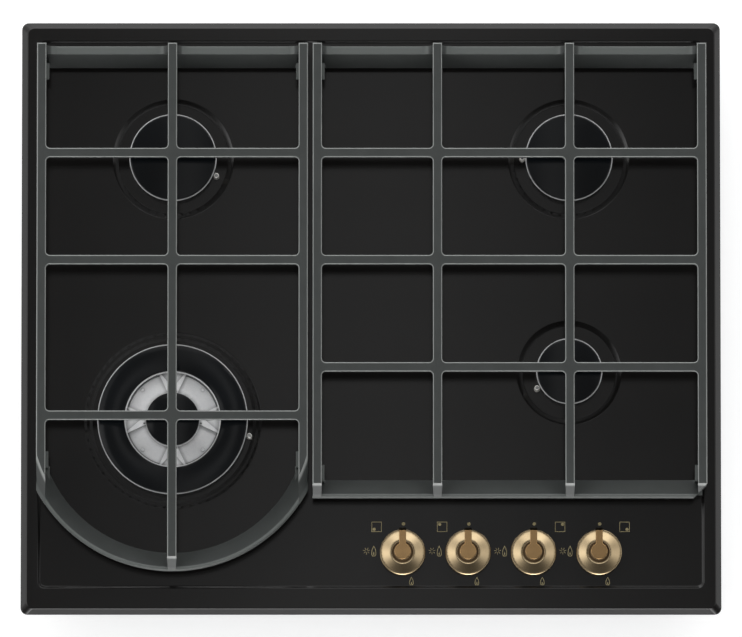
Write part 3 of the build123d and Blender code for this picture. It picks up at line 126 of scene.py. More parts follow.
# Zinc-plated screws, nuts and studs: turned and rolled steel, bright with a faint tool grain.
zinc_plated, tree, shader = new_finish("zinc_plated_steel", Metallic=1.0)
place = vary(tree, shader, 2 * MM, "C9C9C4", "AEB0AE", (0.24, 0.36))
grain = add(tree, "ShaderNodeTexNoise", {"Vector": place, "Scale": 1 / (0.5 * MM), "Detail": 2.0})
relief = add(tree, "ShaderNodeBump", {"Height": grain.outputs["Fac"], "Distance": 0.01 * MM})
tree.links.new(relief.outputs["Normal"], shader.inputs["Normal"])
for node in ("tray_fixings", "clamp_screws", "tap_screws", "burner_screws", "pipe_nuts"):
    paint(node, zinc_plated)

# ---------------------------------------------------------------- gas manifold, inlet and pipes
# A drilled square steel bar feeds the four taps. A bent steel pipe joins it to the half-inch
# brass inlet in the rear wall, and drawn aluminium pipes lead from the taps to the burners.
line_length = 30 * MM
line_pitch = 0.6 * MM

# Drawn steel: grey and half bright, with lines along the bar, coarser than real so they show.
gas_steel, tree, shader = new_finish("drawn_steel", Metallic=1.0)
place = vary(tree, shader, 8 * MM, "A5A5A2", "8C8D8B", (0.3, 0.42))
stretch = (1 / line_length, 1 / line_pitch, 1 / line_pitch)
draw = add(tree, "ShaderNodeMapping", {"Vector": place, "Scale": stretch})
lines = add(
    tree, "ShaderNodeTexNoise", {"Vector": draw.outputs["Vector"], "Scale": 1.0, "Detail": 2.0}
)
relief = add(tree, "ShaderNodeBump", {"Height": lines.outputs["Fac"], "Distance": 0.01 * MM})
tree.links.new(relief.outputs["Normal"], shader.inputs["Normal"])
for node in ("gas_manifold", "inlet_pipe"):
    paint(node, gas_steel)

# Drawn aluminium tube: pale and soft grey, a little uneven where it was bent.
drawn_aluminium, tree, shader = new_finish("drawn_aluminium", Metallic=1.0)
place = vary(tree, shader, 10 * MM, "CBCCCD", "B4B6B8", (0.3, 0.4))
grain = add(tree, "ShaderNodeTexNoise", {"Vector": place, "Scale": 1 / (0.8 * MM), "Detail": 2.0})
relief = add(tree, "ShaderNodeBump", {"Height": grain.outputs["Fac"], "Distance": 0.01 * MM})
tree.links.new(relief.outputs["Normal"], shader.inputs["Normal"])

# Machined brass: yellow and fairly bright, with a faint grain from the cutter.
machined_brass, tree, shader = new_finish("machined_brass", Metallic=1.0)
place = vary(tree, shader, 6 * MM, "C9A55C", "AE8A45", (0.22, 0.34))
grain = add(tree, "ShaderNodeTexNoise", {"Vector": place, "Scale": 1 / (0.6 * MM), "Detail": 3.0})
relief = add(tree, "ShaderNodeBump", {"Height": grain.outputs["Fac"], "Distance": 0.01 * MM})
tree.links.new(relief.outputs["Normal"], shader.inputs["Normal"])

# Turned steel: bright, with rings that are drawn coarser than real so that they show.
turning_pitch = 1.5 * MM
turned_steel, tree, shader = new_finish("turned_steel", Metallic=1.0)
place = vary(tree, shader, 4 * MM, "B5B6B6", "9FA1A1", (0.2, 0.3))
rings = {"Vector": place, "Scale": 1 / turning_pitch}
turning = add(tree, "ShaderNodeTexWave", rings, bands_direction="Z")
relief = add(tree, "ShaderNodeBump", {"Height": turning.outputs["Fac"], "Distance": 0.008 * MM})
tree.links.new(relief.outputs["Normal"], shader.inputs["Normal"])

burner_names = ("wok", "rear_left", "rear_right", "front_right")
for name in burner_names:
    paint(f"burner_pipe_{name}", drawn_aluminium)
    paint(f"tap_body_{name}", machined_brass)
    paint(f"tap_plug_{name}", machined_brass)
    paint(f"tap_stem_{name}", turned_steel)
for node in ("gas_inlet", "gas_jets"):
    paint(node, machined_brass)

# ---------------------------------------------------------------- return springs of the taps
# A wound steel wire spring round each stem pushes the knob up again. Its lower end stays on
# the plug, and the coil rides with it.
wire_radius = 0.5 * MM
spring_turns = 5


def spring_tree(material):
    """Geometry Nodes tree that winds a wire on a spiral."""
    group = bpy.data.node_groups.new("wound_spring", "GeometryNodeTree")
    group.interface.new_socket("Geometry", in_out="OUTPUT", socket_type="NodeSocketGeometry")
    for label in ("Turns", "Radius", "Height", "Wire"):
        group.interface.new_socket(label, in_out="INPUT", socket_type="NodeSocketFloat")
    source = add(group, "NodeGroupInput").outputs
    spiral = add(
        group,
        "GeometryNodeCurveSpiral",
        {
            "Resolution": 20,
            "Rotations": source["Turns"],
            "Start Radius": source["Radius"],
            "End Radius": source["Radius"],
            "Height": source["Height"],
        },
    )
    section = add(
        group, "GeometryNodeCurvePrimitiveCircle", {"Resolution": 8, "Radius": source["Wire"]}
    )
    wire = add(
        group,
        "GeometryNodeCurveToMesh",
        {"Curve": spiral.outputs[0], "Profile Curve": section.outputs[0], "Fill Caps": True},
    )
    whole = add(group, "GeometryNodeRealizeInstances", {0: wire.outputs[0]})
    painted = add(group, "GeometryNodeSetMaterial", {0: whole.outputs[0], "Material": material})
    sink = add(group, "NodeGroupOutput")
    group.links.new(painted.outputs[0], sink.inputs[0])
    return group


def grown(name, group, values):
    """The mesh that a Geometry Nodes tree makes with these input values, as a plain object."""
    holder = bpy.data.objects.new(f"{name}_source", bpy.data.meshes.new(name))
    bpy.context.scene.collection.objects.link(holder)
    modifier = holder.modifiers.new("grow", "NODES")
    modifier.node_group = group
    for item in group.interface.items_tree:
        if item.item_type == "SOCKET" and item.in_out == "INPUT" and item.name in values:
            modifier[item.identifier] = values[item.name]
    bpy.context.view_layer.update()
    graph = bpy.context.evaluated_depsgraph_get()
    mesh = bpy.data.meshes.new_from_object(holder.evaluated_get(graph))
    bpy.data.objects.remove(holder)
    piece = bpy.data.objects.new(name, mesh)
    bpy.context.scene.collection.objects.link(piece)
    return piece


winding = spring_tree(turned_steel)
for name in burner_names:
    low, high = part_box(f"return_spring_{name}")
    outer = (high[0] - low[0]) / 2
    coil = grown(
        f"wound_spring_{name}",
        winding,
        {
            "Turns": float(spring_turns),
            "Radius": outer - wire_radius,
            "Height": high[2] - low[2] - 2 * wire_radius,
            "Wire": wire_radius,
        },
    )
    coil.data.transform(
        Matrix.Translation(((low[0] + high[0]) / 2, (low[1] + high[1]) / 2, low[2] + wire_radius))
    )
    for face in coil.data.polygons:
        face.use_smooth = True
    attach(coil, f"plug_{name}")
    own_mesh(coil)
    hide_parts(f"return_spring_{name}")

# ---------------------------------------------------------------- top plate
# One pressed steel sheet with a sloping rim, a shallow deck and a dished well round each
# burner, coated all over with black vitreous enamel that is fired on.
bodies = frame["record"]["behaviour"]["bodies"]
body_of = {node: body for body, members in bodies.items() for node in members}


def dressed(node, material, name, crease=35):
    """A copy of a CAD node with its points merged, smooth up to a crease angle in degrees."""
    mesh = nodes[node].data.copy()
    work = bmesh.new()
    work.from_mesh(mesh)
    bmesh.ops.remove_doubles(work, verts=work.verts, dist=1e-6)
    for edge in work.edges:
        edge.smooth = edge.calc_face_angle(pi) < radians(crease)
    for face in work.faces:
        face.smooth = True
        face.material_index = 0
    work.to_mesh(mesh)
    work.free()
    mesh.materials.clear()
    mesh.materials.append(material)
    source = bpy.data.objects.new(f"{name}_source", mesh)
    bpy.context.scene.collection.objects.link(source)
    weighted = source.modifiers.new("flat faces first", "WEIGHTED_NORMAL")
    weighted.keep_sharp = True
    graph = bpy.context.evaluated_depsgraph_get()
    finished = bpy.data.meshes.new_from_object(source.evaluated_get(graph))
    bpy.data.objects.remove(source)
    piece = bpy.data.objects.new(name, finished)
    bpy.context.scene.collection.objects.link(piece)
    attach(piece, body_of[node])
    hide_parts(node)
    return piece


# Black vitreous enamel: glassy, with the faint orange-peel ripple of a fired coat.
ripple_size = 2.2 * MM
enamel, tree, shader = new_finish("black_vitreous_enamel", IOR=1.45)
place = vary(tree, shader, 90 * MM, "121110", "0D0C0C", (0.12, 0.17))
ripple = add(tree, "ShaderNodeTexNoise", {"Vector": place, "Scale": 1 / ripple_size, "Detail": 1.0})
relief = add(tree, "ShaderNodeBump", {"Height": ripple.outputs["Fac"], "Distance": 0.006 * MM})
tree.links.new(relief.outputs["Normal"], shader.inputs["Normal"])
dressed("top_plate", enamel, "enamelled_plate")

# ---------------------------------------------------------------- printed signs
# Gold ceramic ink, printed and fired on the enamel beside each knob: a dot at the off
# position, a spark, a full flame and a low flame, and a square that shows the burner's place.
ink, tree, shader = new_finish("gold_ceramic_ink", IOR=1.5)
place = vary(tree, shader, 1.5 * MM, "B3A67C", "9A8E68", (0.45, 0.6))
ink_lines = add(tree, "ShaderNodeTexNoise", {"Vector": place, "Scale": 1 / (0.4 * MM)})
relief = add(tree, "ShaderNodeBump", {"Height": ink_lines.outputs["Fac"], "Distance": 0.004 * MM})
tree.links.new(relief.outputs["Normal"], shader.inputs["Normal"])
deck_z = 55 * MM
ink_height = 0.03 * MM
stroke = 0.5 * MM
knob_y = -202.2 * MM
knob_pitch = 56.0 * MM
first_knob = 27.0 * MM
off_dot = (0.8 * MM, 24.9 * MM)
off_dot_radius = 1.5 * MM
spark_rays = 7
spark_reach = (1.0 * MM, 3.0 * MM)
spark_place = (-30.8 * MM, 1.6 * MM)
full_flame_place = (-24.6 * MM, 1.6 * MM)
full_flame_size = (3.7 * MM, 8.5 * MM)
full_core_size = (0.9 * MM, 3.0 * MM)
full_core_drop = 1.9 * MM
low_flame_place = (7.6 * MM, -24.2 * MM)
low_flame_size = (3.3 * MM, 6.4 * MM)
low_core_size = (0.8 * MM, 2.0 * MM)
low_core_drop = 1.5 * MM
sign_square = 8.2 * MM
sign_square_rise = 22.4 * MM
sign_dot_radius = 1.35 * MM
sign_dot_offset = 2.1 * MM


def ring_of(points, width):
    """Outer and inner outline of a stroke of that width along closed points."""
    outlines = ([], [])
    for place, point in enumerate(points):
        before = Vector(points[place - 1])
        here = Vector(point)
        after = Vector(points[(place + 1) % len(points)])
        first = (here - before).normalized()
        second = (after - here).normalized()
        across = Vector((first.y + second.y, -first.x - second.x))
        across.normalize()
        lean = max(0.45, across.dot(Vector((first.y, -first.x))))
        for outline, side in zip(outlines, (0.5, -0.5)):
            outline.append(here + across * (side * width / lean))
    return outlines


def print_ink(work, outlines, low, high):
    """Adds a thin closed solid: one outline is filled, two bound a stroke."""
    levels = [
        [[work.verts.new((p[0], p[1], z)) for p in line] for line in outlines] for z in (low, high)
    ]
    count = len(outlines[0])
    for place in range(count):
        after = (place + 1) % count
        for line in range(len(outlines)):
            a, b = levels[0][line][place], levels[0][line][after]
            c, d = levels[1][line][after], levels[1][line][place]
            work.faces.new((a, b, c, d) if line == 0 else (d, c, b, a))
        if len(outlines) == 2:
            for level in (0, 1):
                a, b = levels[level][0][place], levels[level][0][after]
                c, d = levels[level][1][after], levels[level][1][place]
                work.faces.new((a, b, c, d) if level else (d, c, b, a))
    if len(outlines) == 1:
        work.faces.new(levels[1][0])
        work.faces.new(list(reversed(levels[0][0])))


def circle_at(x, y, radius, count=16):
    """Points of a circle, counter-clockwise."""
    turns = [2 * pi * step / count for step in range(count)]
    return [(x + radius * cos(turn), y + radius * sin(turn)) for turn in turns]


def flame_at(x, y, width, height):
    """Closed outline of a flame with a pointed top and a rounded foot."""
    half = [(0.0, 0.5), (0.22, 0.3), (0.41, 0.08), (0.48, -0.15), (0.46, -0.36), (0.28, -0.5)]
    right = [(x + a * width, y + b * height) for a, b in half]
    left = [(x - a * width, y + b * height) for a, b in reversed(half[1:])]
    return list(reversed(right + left))


def ray_at(x, y, near, far, turn, width):
    """Closed outline of one short ray of a spark, pointing away from its centre."""
    along, across = Vector((cos(turn), sin(turn))), Vector((-sin(turn), cos(turn))) * width / 2
    centre = Vector((x, y))
    start, tip = centre + along * near, centre + along * far
    return [tuple(point) for point in (start - across, tip - across, tip + across, start + across)]


signs = bpy.data.meshes.new("signs_of_one_knob")
work = bmesh.new()
print_ink(work, [circle_at(*off_dot, off_dot_radius)], 0.0, ink_height)
for place in range(spark_rays):
    turn = 2 * pi * (place + 0.25) / spark_rays
    ray = ray_at(*spark_place, *spark_reach, turn, 0.8 * stroke)
    print_ink(work, [ray], 0.0, ink_height)
for flame_place, flame_size, core_size, core_drop in (
    (full_flame_place, full_flame_size, full_core_size, full_core_drop),
    (low_flame_place, low_flame_size, low_core_size, low_core_drop),
):
    flame = flame_at(*flame_place, *flame_size)
    print_ink(work, ring_of(flame, stroke), 0.0, ink_height)
    core = flame_at(flame_place[0], flame_place[1] - core_drop, *core_size)
    print_ink(work, [core], 0.0, ink_height)
work.to_mesh(signs)
work.free()
one_knob = bpy.data.objects.new("signs_of_one_knob", signs)
bpy.context.scene.collection.objects.link(one_knob)


def row_tree(material):
    """Geometry Nodes tree that repeats an object in a row."""
    group = bpy.data.node_groups.new("row_of_signs", "GeometryNodeTree")
    group.interface.new_socket("Geometry", in_out="OUTPUT", socket_type="NodeSocketGeometry")
    kinds = (("Sign", "Object"), ("Count", "Int"), ("Start", "Vector"), ("Step", "Vector"))
    for label, kind in kinds:
        group.interface.new_socket(label, in_out="INPUT", socket_type=f"NodeSocket{kind}")
    source = add(group, "NodeGroupInput").outputs
    line = add(
        group,
        "GeometryNodeMeshLine",
        {"Count": source["Count"], "Start Location": source["Start"], "Offset": source["Step"]},
    )
    sign = add(group, "GeometryNodeObjectInfo", {"Object": source["Sign"]})
    copies = add(
        group,
        "GeometryNodeInstanceOnPoints",
        {"Points": line.outputs[0], "Instance": sign.outputs["Geometry"]},
    )
    whole = add(group, "GeometryNodeRealizeInstances", {0: copies.outputs[0]})
    painted = add(group, "GeometryNodeSetMaterial", {0: whole.outputs[0], "Material": material})
    sink = add(group, "NodeGroupOutput")
    group.links.new(painted.outputs[0], sink.inputs[0])
    return group


row = grown(
    "printed_knob_signs",
    row_tree(ink),
    {
        "Sign": one_knob,
        "Count": len(burner_names),
        "Start": (first_knob, knob_y, deck_z),
        "Step": (knob_pitch, 0.0, 0.0),
    },
)
bpy.data.objects.remove(one_knob)
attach(row, "cooktop")

squares = bpy.data.meshes.new("printed_burner_squares")
work = bmesh.new()
square_places = ((0, -22.2, -1, -1), (1, -22.1, -1, 1), (2, 22.9, 1, 1), (3, 22.1, 1, -1))
for place, offset, across, along in square_places:
    x = first_knob + place * knob_pitch + offset * MM
    y = knob_y + sign_square_rise
    half = sign_square / 2
    turns = ((-1, -1), (1, -1), (1, 1), (-1, 1))
    corners = [(x + turn_x * half, y + turn_y * half) for turn_x, turn_y in turns]
    print_ink(work, ring_of(corners, stroke), deck_z, deck_z + ink_height)
    dot = circle_at(x + across * sign_dot_offset, y + along * sign_dot_offset, sign_dot_radius)
    print_ink(work, [dot], deck_z, deck_z + ink_height)
work.to_mesh(squares)
work.free()
squares.materials.append(ink)
squares_piece = bpy.data.objects.new("printed_burner_squares", squares)
bpy.context.scene.collection.objects.link(squares_piece)
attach(squares_piece, "cooktop")

# ---------------------------------------------------------------- seals, feet and gland
# Foam strip under the rim, rubber seals round the knob stems, rubber buffers under the pan
# supports, and a moulded gland for the mains lead: all matt black, slightly dusty.
black_rubber, tree, shader = new_finish("moulded_black_rubber", IOR=1.5)
place = vary(tree, shader, 5 * MM, "1D1D1D", "151515", (0.6, 0.75))
grain = add(tree, "ShaderNodeTexNoise", {"Vector": place, "Scale": 1 / (0.3 * MM), "Detail": 2.0})
relief = add(tree, "ShaderNodeBump", {"Height": grain.outputs["Fac"], "Distance": 0.02 * MM})
tree.links.new(relief.outputs["Normal"], shader.inputs["Normal"])
for node in ("stem_seals", "feet_left", "feet_right", "cable_gland"):
    paint(node, black_rubber)

# Closed-cell foam: dull dark grey, with cells 0.7 mm wide.
foam, tree, shader = new_finish("closed_cell_foam", IOR=1.45)
place = vary(tree, shader, 3 * MM, "2B2B2B", "1E1E1E", (0.8, 0.95))
cells = add(tree, "ShaderNodeTexVoronoi", {"Vector": place, "Scale": 1 / (0.7 * MM)})
relief = add(tree, "ShaderNodeBump", {"Height": cells.outputs["Distance"], "Distance": 0.1 * MM})
tree.links.new(relief.outputs["Normal"], shader.inputs["Normal"])
paint("rim_seal", foam)

# ---------------------------------------------------------------- burner cups
# Die-cast aluminium cups screwed under the plate, one below each crown. They keep the dull
# grey skin of the casting.
cast_aluminium, tree, shader = new_finish("die_cast_aluminium", Metallic=1.0)
place = vary(tree, shader, 5 * MM, "B4B5B6", "9FA0A2", (0.45, 0.58))
grain = add(tree, "ShaderNodeTexNoise", {"Vector": place, "Scale": 1 / (0.5 * MM), "Detail": 3.0})
relief = add(tree, "ShaderNodeBump", {"Height": grain.outputs["Fac"], "Distance": 0.03 * MM})
tree.links.new(relief.outputs["Normal"], shader.inputs["Normal"])
for name in burner_names:
    paint(f"burner_cup_{name}", cast_aluminium)

# ---------------------------------------------------------------- flame crowns
# Forged aluminium crowns that stand loose on the cups: shot-blasted grey-white metal with fine
# dents. Shade is painted as a darker grey into its corners and ports.
painted_shade_reach = 3.5 * MM
painted_shade_power = 0.9
crown_roughness = (0.34, 0.52)
dent_size = 1.3 * MM
dent_depth = 0.3 * MM
crown_aluminium, tree, shader = new_finish("shot_blasted_aluminium", Metallic=0.4)
place = add(tree, "ShaderNodeTexCoord").outputs["Object"]
patch = add(tree, "ShaderNodeTexNoise", {"Vector": place, "Scale": 1 / (2.5 * MM), "Detail": 5.0})
blasted = add(tree, "ShaderNodeMix", {"Factor": patch.outputs["Fac"]}, data_type="RGBA")
blasted.inputs[6].default_value = linear("EDEEF0")
blasted.inputs[7].default_value = linear("FAFAFA")
# Painted shade: the base colour goes to dark grey where ambient occlusion finds the crown closed
# in.
open_to_light = add(tree, "ShaderNodeAmbientOcclusion", {"Distance": painted_shade_reach}, samples=8)
painted_shade_mask = add(
    tree, "ShaderNodeMath", {0: open_to_light.outputs["AO"], 1: painted_shade_power}, operation="POWER"
)
shade = add(
    tree, "ShaderNodeMix", {"Factor": painted_shade_mask.outputs[0], 7: blasted.outputs[2]}, data_type="RGBA"
)
shade.inputs[6].default_value = linear("3C3D3E")
tree.links.new(shade.outputs[2], shader.inputs["Base Color"])
gloss = add(
    tree,
    "ShaderNodeMapRange",
    {"Value": patch.outputs["Fac"], "To Min": crown_roughness[0], "To Max": crown_roughness[1]},
)
tree.links.new(gloss.outputs[0], shader.inputs["Roughness"])
dents = add(tree, "ShaderNodeTexNoise", {"Vector": place, "Scale": 1 / dent_size, "Detail": 4.0})
relief = add(tree, "ShaderNodeBump", {"Height": dents.outputs["Fac"], "Distance": dent_depth})
tree.links.new(relief.outputs["Normal"], shader.inputs["Normal"])
for name in burner_names:
    dressed(f"flame_crown_{name}", crown_aluminium, f"aluminium_crown_{name}")

# ---------------------------------------------------------------- burner caps
# Pressed steel caps with a glossy blue-black enamel. They lie loose on the crowns, and a ring
# on the underside of each keeps it in place.
cap_enamel, tree, shader = new_finish("glossy_cap_enamel", IOR=1.34)
place = vary(tree, shader, 30 * MM, "0E1114", "090B0D", (0.1, 0.16))
ripple = add(tree, "ShaderNodeTexNoise", {"Vector": place, "Scale": 1 / ripple_size, "Detail": 1.0})
relief = add(tree, "ShaderNodeBump", {"Height": ripple.outputs["Fac"], "Distance": 0.004 * MM})
tree.links.new(relief.outputs["Normal"], shader.inputs["Normal"])
for name in ("rear_left", "rear_right", "front_right", "wok_ring", "wok_centre"):
    dressed(f"burner_cap_{name}", cap_enamel, f"enamelled_cap_{name}")

# ---------------------------------------------------------------- spark electrodes
# A glazed white ceramic rod with a steel pin in its tip stands beside each crown. It goes
# through the plate, and its lead is plugged on below.
ceramic, tree, shader = new_finish("glazed_white_ceramic", IOR=1.5)
place = vary(tree, shader, 4 * MM, "F1EFEA", "DEDBD4", (0.15, 0.25))
grain = add(tree, "ShaderNodeTexNoise", {"Vector": place, "Scale": 1 / (1.0 * MM)})
relief = add(tree, "ShaderNodeBump", {"Height": grain.outputs["Fac"], "Distance": 0.004 * MM})
tree.links.new(relief.outputs["Normal"], shader.inputs["Normal"])
electrodes = dressed("spark_electrodes", ceramic, "ceramic_electrodes")
electrodes.data.materials.append(turned_steel)
pin_reach = 1.3 * MM
rod_apart = 6 * MM
rod_width = 10 * MM
centres = []
points = [vert.co for vert in electrodes.data.vertices]
for point in points:
    if not any(hypot(point.x - x, point.y - y) < rod_apart for x, y in centres):
        near = [p for p in points if hypot(p.x - point.x, p.y - point.y) < rod_width]
        xs, ys = [p.x for p in near], [p.y for p in near]
        centres.append(((min(xs) + max(xs)) / 2, (min(ys) + max(ys)) / 2))
for face in electrodes.data.polygons:
    x, y = min(centres, key=lambda c: hypot(face.center.x - c[0], face.center.y - c[1]))
    if hypot(face.center.x - x, face.center.y - y) < pin_reach and face.center.z > deck_z:
        face.material_index = 1

# ---------------------------------------------------------------- spark ignition
# A moulded grey spark generator on the tray's floor, silicone-covered leads to the
# electrodes, and a small black switch on each tap.
grey_plastic, tree, shader = new_finish("moulded_grey_plastic", IOR=1.5)
place = vary(tree, shader, 20 * MM, "6E7174", "63666A", (0.45, 0.55))
grain = add(tree, "ShaderNodeTexNoise", {"Vector": place, "Scale": 1 / (0.4 * MM), "Detail": 2.0})
relief = add(tree, "ShaderNodeBump", {"Height": grain.outputs["Fac"], "Distance": 0.02 * MM})
tree.links.new(relief.outputs["Normal"], shader.inputs["Normal"])
paint("spark_generator", grey_plastic)

# Moulded black plastic: satin, with a fine spark-eroded grain.
black_plastic, tree, shader = new_finish("moulded_black_plastic", IOR=1.5)
place = vary(tree, shader, 6 * MM, "1B1B1C", "131314", (0.4, 0.5))
grain = add(tree, "ShaderNodeTexNoise", {"Vector": place, "Scale": 1 / (0.4 * MM), "Detail": 2.0})
relief = add(tree, "ShaderNodeBump", {"Height": grain.outputs["Fac"], "Distance": 0.02 * MM})
tree.links.new(relief.outputs["Normal"], shader.inputs["Normal"])
paint("ignition_switches", black_plastic)

# Silicone sleeve: off-white and soft, without a clear highlight.
silicone, tree, shader = new_finish("white_silicone_sleeve", IOR=1.41)
place = vary(tree, shader, 10 * MM, "DAD6CC", "C8C4BA", (0.5, 0.6))
grain = add(tree, "ShaderNodeTexNoise", {"Vector": place, "Scale": 1 / (0.5 * MM)})
relief = add(tree, "ShaderNodeBump", {"Height": grain.outputs["Fac"], "Distance": 0.01 * MM})
tree.links.new(relief.outputs["Normal"], shader.inputs["Normal"])
paint("ignition_leads", silicone)

# ---------------------------------------------------------------- pan supports
# Sand-cast iron grids with a matt grey-black enamel that shows the grain of the sand. Along the
# bars' rounded ridges a lighter grey is painted on, partly wear and partly a painted highlight,
# and the frames' level ledges get a painted lighter grey where light falls on them.
sand_grain = 0.7 * MM
sand_depth = 0.06 * MM
iron_patch = 14 * MM
ridge_rise = (98.5 * MM, 99.8 * MM)
ledge_fall = (93.0 * MM, 92.0 * MM)
iron_roughness = (0.44, 0.3)
iron, tree, shader = new_finish("enamelled_cast_iron", IOR=1.45)
place = add(tree, "ShaderNodeTexCoord").outputs["Object"]
sand = add(
    tree,
    "ShaderNodeTexNoise",
    {"Vector": place, "Scale": 1 / sand_grain, "Detail": 4.0, "Roughness": 0.6},
)
relief = add(tree, "ShaderNodeBump", {"Height": sand.outputs["Fac"], "Distance": sand_depth})
tree.links.new(relief.outputs["Normal"], shader.inputs["Normal"])
patch = add(tree, "ShaderNodeTexNoise", {"Vector": place, "Scale": 1 / iron_patch, "Detail": 4.0})
height = add(tree, "ShaderNodeSeparateXYZ", {0: place}).outputs["Z"]
normal = add(tree, "ShaderNodeNewGeometry").outputs["Normal"]
facing = add(tree, "ShaderNodeSeparateXYZ", {0: normal}).outputs["Z"]

# Each share goes from 0 to 1 while a height, or how far a face looks up, goes from one value to
# another. A level face has 1 and an upright one 0.
spans = {
    "off_level": (facing, 0.99, 0.9),
    "off_upright": (facing, 0.15, 0.45),
    "on_ridge": (height, *ridge_rise),
    "below_bars": (height, *ledge_fall),
    "level": (facing, 0.6, 0.9),
}
shares = {}
for name, (value, start, end) in spans.items():
    span = {"Value": value, "From Min": start, "From Max": end}
    shares[name] = add(tree, "ShaderNodeMapRange", span, clamp=True).outputs[0]
rounded = add(
    tree, "ShaderNodeMath", {0: shares["off_level"], 1: shares["off_upright"]}, operation="MULTIPLY"
)
# Partly wear and partly a painted highlight: a lighter grey on the rounded edges at the top of the
# bars.
wear_and_painted_highlight = add(
    tree, "ShaderNodeMath", {0: rounded.outputs[0], 1: shares["on_ridge"]}, operation="MULTIPLY"
).outputs[0]
# Painted light: the level ledges below the bars are painted a lighter grey.
ledge_light_share = add(
    tree, "ShaderNodeMath", {0: shares["below_bars"], 1: shares["level"]}, operation="MULTIPLY"
).outputs[0]
skin = add(tree, "ShaderNodeMix", {"Factor": patch.outputs["Fac"]}, data_type="RGBA")
skin.inputs[6].default_value = linear("323534")
skin.inputs[7].default_value = linear("3F4241")
painted_ledge_light = add(tree, "ShaderNodeMix", {"Factor": ledge_light_share, 6: skin.outputs[2]}, data_type="RGBA")
painted_ledge_light.inputs[7].default_value = linear("5A5E5C")
shade = add(tree, "ShaderNodeMix", {"Factor": wear_and_painted_highlight, 6: painted_ledge_light.outputs[2]}, data_type="RGBA")
shade.inputs[7].default_value = linear("8E918F")
tree.links.new(shade.outputs[2], shader.inputs["Base Color"])
span = {"Value": wear_and_painted_highlight, "To Min": iron_roughness[0], "To Max": iron_roughness[1]}
gloss = add(tree, "ShaderNodeMapRange", span)
tree.links.new(gloss.outputs[0], shader.inputs["Roughness"])
for side in ("left", "right"):
    dressed(f"pan_support_{side}", iron, f"iron_grid_{side}", crease=30)

# ---------------------------------------------------------------- knobs
# Brass-coloured metal knobs, pushed onto the tap stems. The cone is brushed in circles, drawn
# coarser than real, so it shows fans of light and dark. The flat boss and its pointer bar are
# more yellow, and shade is painted dark brown into the groove round the boss.
groove = (7.0 * MM, 9.3 * MM)
groove_edge = 0.5 * MM
top_face_depth = (0.6 * MM, 1.2 * MM)
brass_patch = 12 * MM
brush_pitch = 0.35 * MM
brush_depth = 0.005 * MM
brushed_roughness = (0.18, 0.26)
for name in burner_names:
    low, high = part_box(f"knob_{name}")
    axis = ((low[0] + high[0]) / 2, knob_y)
    brass, tree, shader = new_finish(
        f"circular_brushed_brass_{name}",
        Metallic=1.0,
        Anisotropic=0.6,
        Coat_Weight=0.3,
        Coat_Roughness=0.2,
    )
    place = add(tree, "ShaderNodeTexCoord").outputs["Object"]
    centred = add(
        tree, "ShaderNodeVectorMath", {0: place, 1: (*axis, 0.0)}, operation="SUBTRACT"
    )
    parts = add(tree, "ShaderNodeSeparateXYZ", {0: centred.outputs[0]}).outputs
    flat = add(tree, "ShaderNodeCombineXYZ", {0: parts[0], 1: parts[1]})
    length = add(tree, "ShaderNodeVectorMath", {0: flat.outputs[0]}, operation="LENGTH")
    radius = length.outputs["Value"]
    patch = add(
        tree, "ShaderNodeTexNoise", {"Vector": place, "Scale": 1 / brass_patch, "Detail": 3.0}
    )
    skin = add(tree, "ShaderNodeMix", {"Factor": patch.outputs["Fac"]}, data_type="RGBA")
    skin.inputs[6].default_value = linear("A4906F")
    skin.inputs[7].default_value = linear("B8A482")
    spans = {
        "past_boss": (radius, groove[0], groove[0] + groove_edge),
        "before_ring": (radius, groove[1], groove[1] - groove_edge),
        "below_top": (parts[2], high[2] - top_face_depth[0], high[2] - top_face_depth[1]),
    }
    shares = {}
    for label, (value, start, end) in spans.items():
        span = {"Value": value, "From Min": start, "From Max": end}
        shares[label] = add(tree, "ShaderNodeMapRange", span, clamp=True).outputs[0]
    below_top = shares["below_top"]
    in_groove = {0: shares["past_boss"], 1: shares["before_ring"]}
    between = add(tree, "ShaderNodeMath", in_groove, operation="MULTIPLY").outputs[0]
    # Painted shade: the groove round the boss, below the top face, is coloured dark brown.
    painted_groove_shade = add(tree, "ShaderNodeMath", {0: between, 1: below_top}, operation="MULTIPLY")
    topped = add(tree, "ShaderNodeMix", {"Factor": below_top, 7: skin.outputs[2]}, data_type="RGBA")
    topped.inputs[6].default_value = linear("B79364")
    layers = {"Factor": painted_groove_shade.outputs[0], 6: topped.outputs[2]}
    shade = add(tree, "ShaderNodeMix", layers, data_type="RGBA")
    shade.inputs[7].default_value = linear("5A4328")
    tree.links.new(shade.outputs[2], shader.inputs["Base Color"])
    rings = {"W": radius, "Scale": 1 / brush_pitch}
    turned = add(tree, "ShaderNodeTexNoise", rings, noise_dimensions="1D").outputs["Fac"]
    gloss = add(
        tree,
        "ShaderNodeMapRange",
        {"Value": turned, "To Min": brushed_roughness[0], "To Max": brushed_roughness[1]},
    )
    tree.links.new(gloss.outputs[0], shader.inputs["Roughness"])
    relief = add(tree, "ShaderNodeBump", {"Height": turned, "Distance": brush_depth})
    tree.links.new(relief.outputs["Normal"], shader.inputs["Normal"])
    turned_y = add(tree, "ShaderNodeMath", {0: parts[1], 1: -1.0}, operation="MULTIPLY")
    around = add(tree, "ShaderNodeCombineXYZ", {0: turned_y.outputs[0], 1: parts[0]})
    tree.links.new(around.outputs[0], shader.inputs["Tangent"])
    dressed(f"knob_{name}", brass, f"brass_knob_{name}", crease=30)

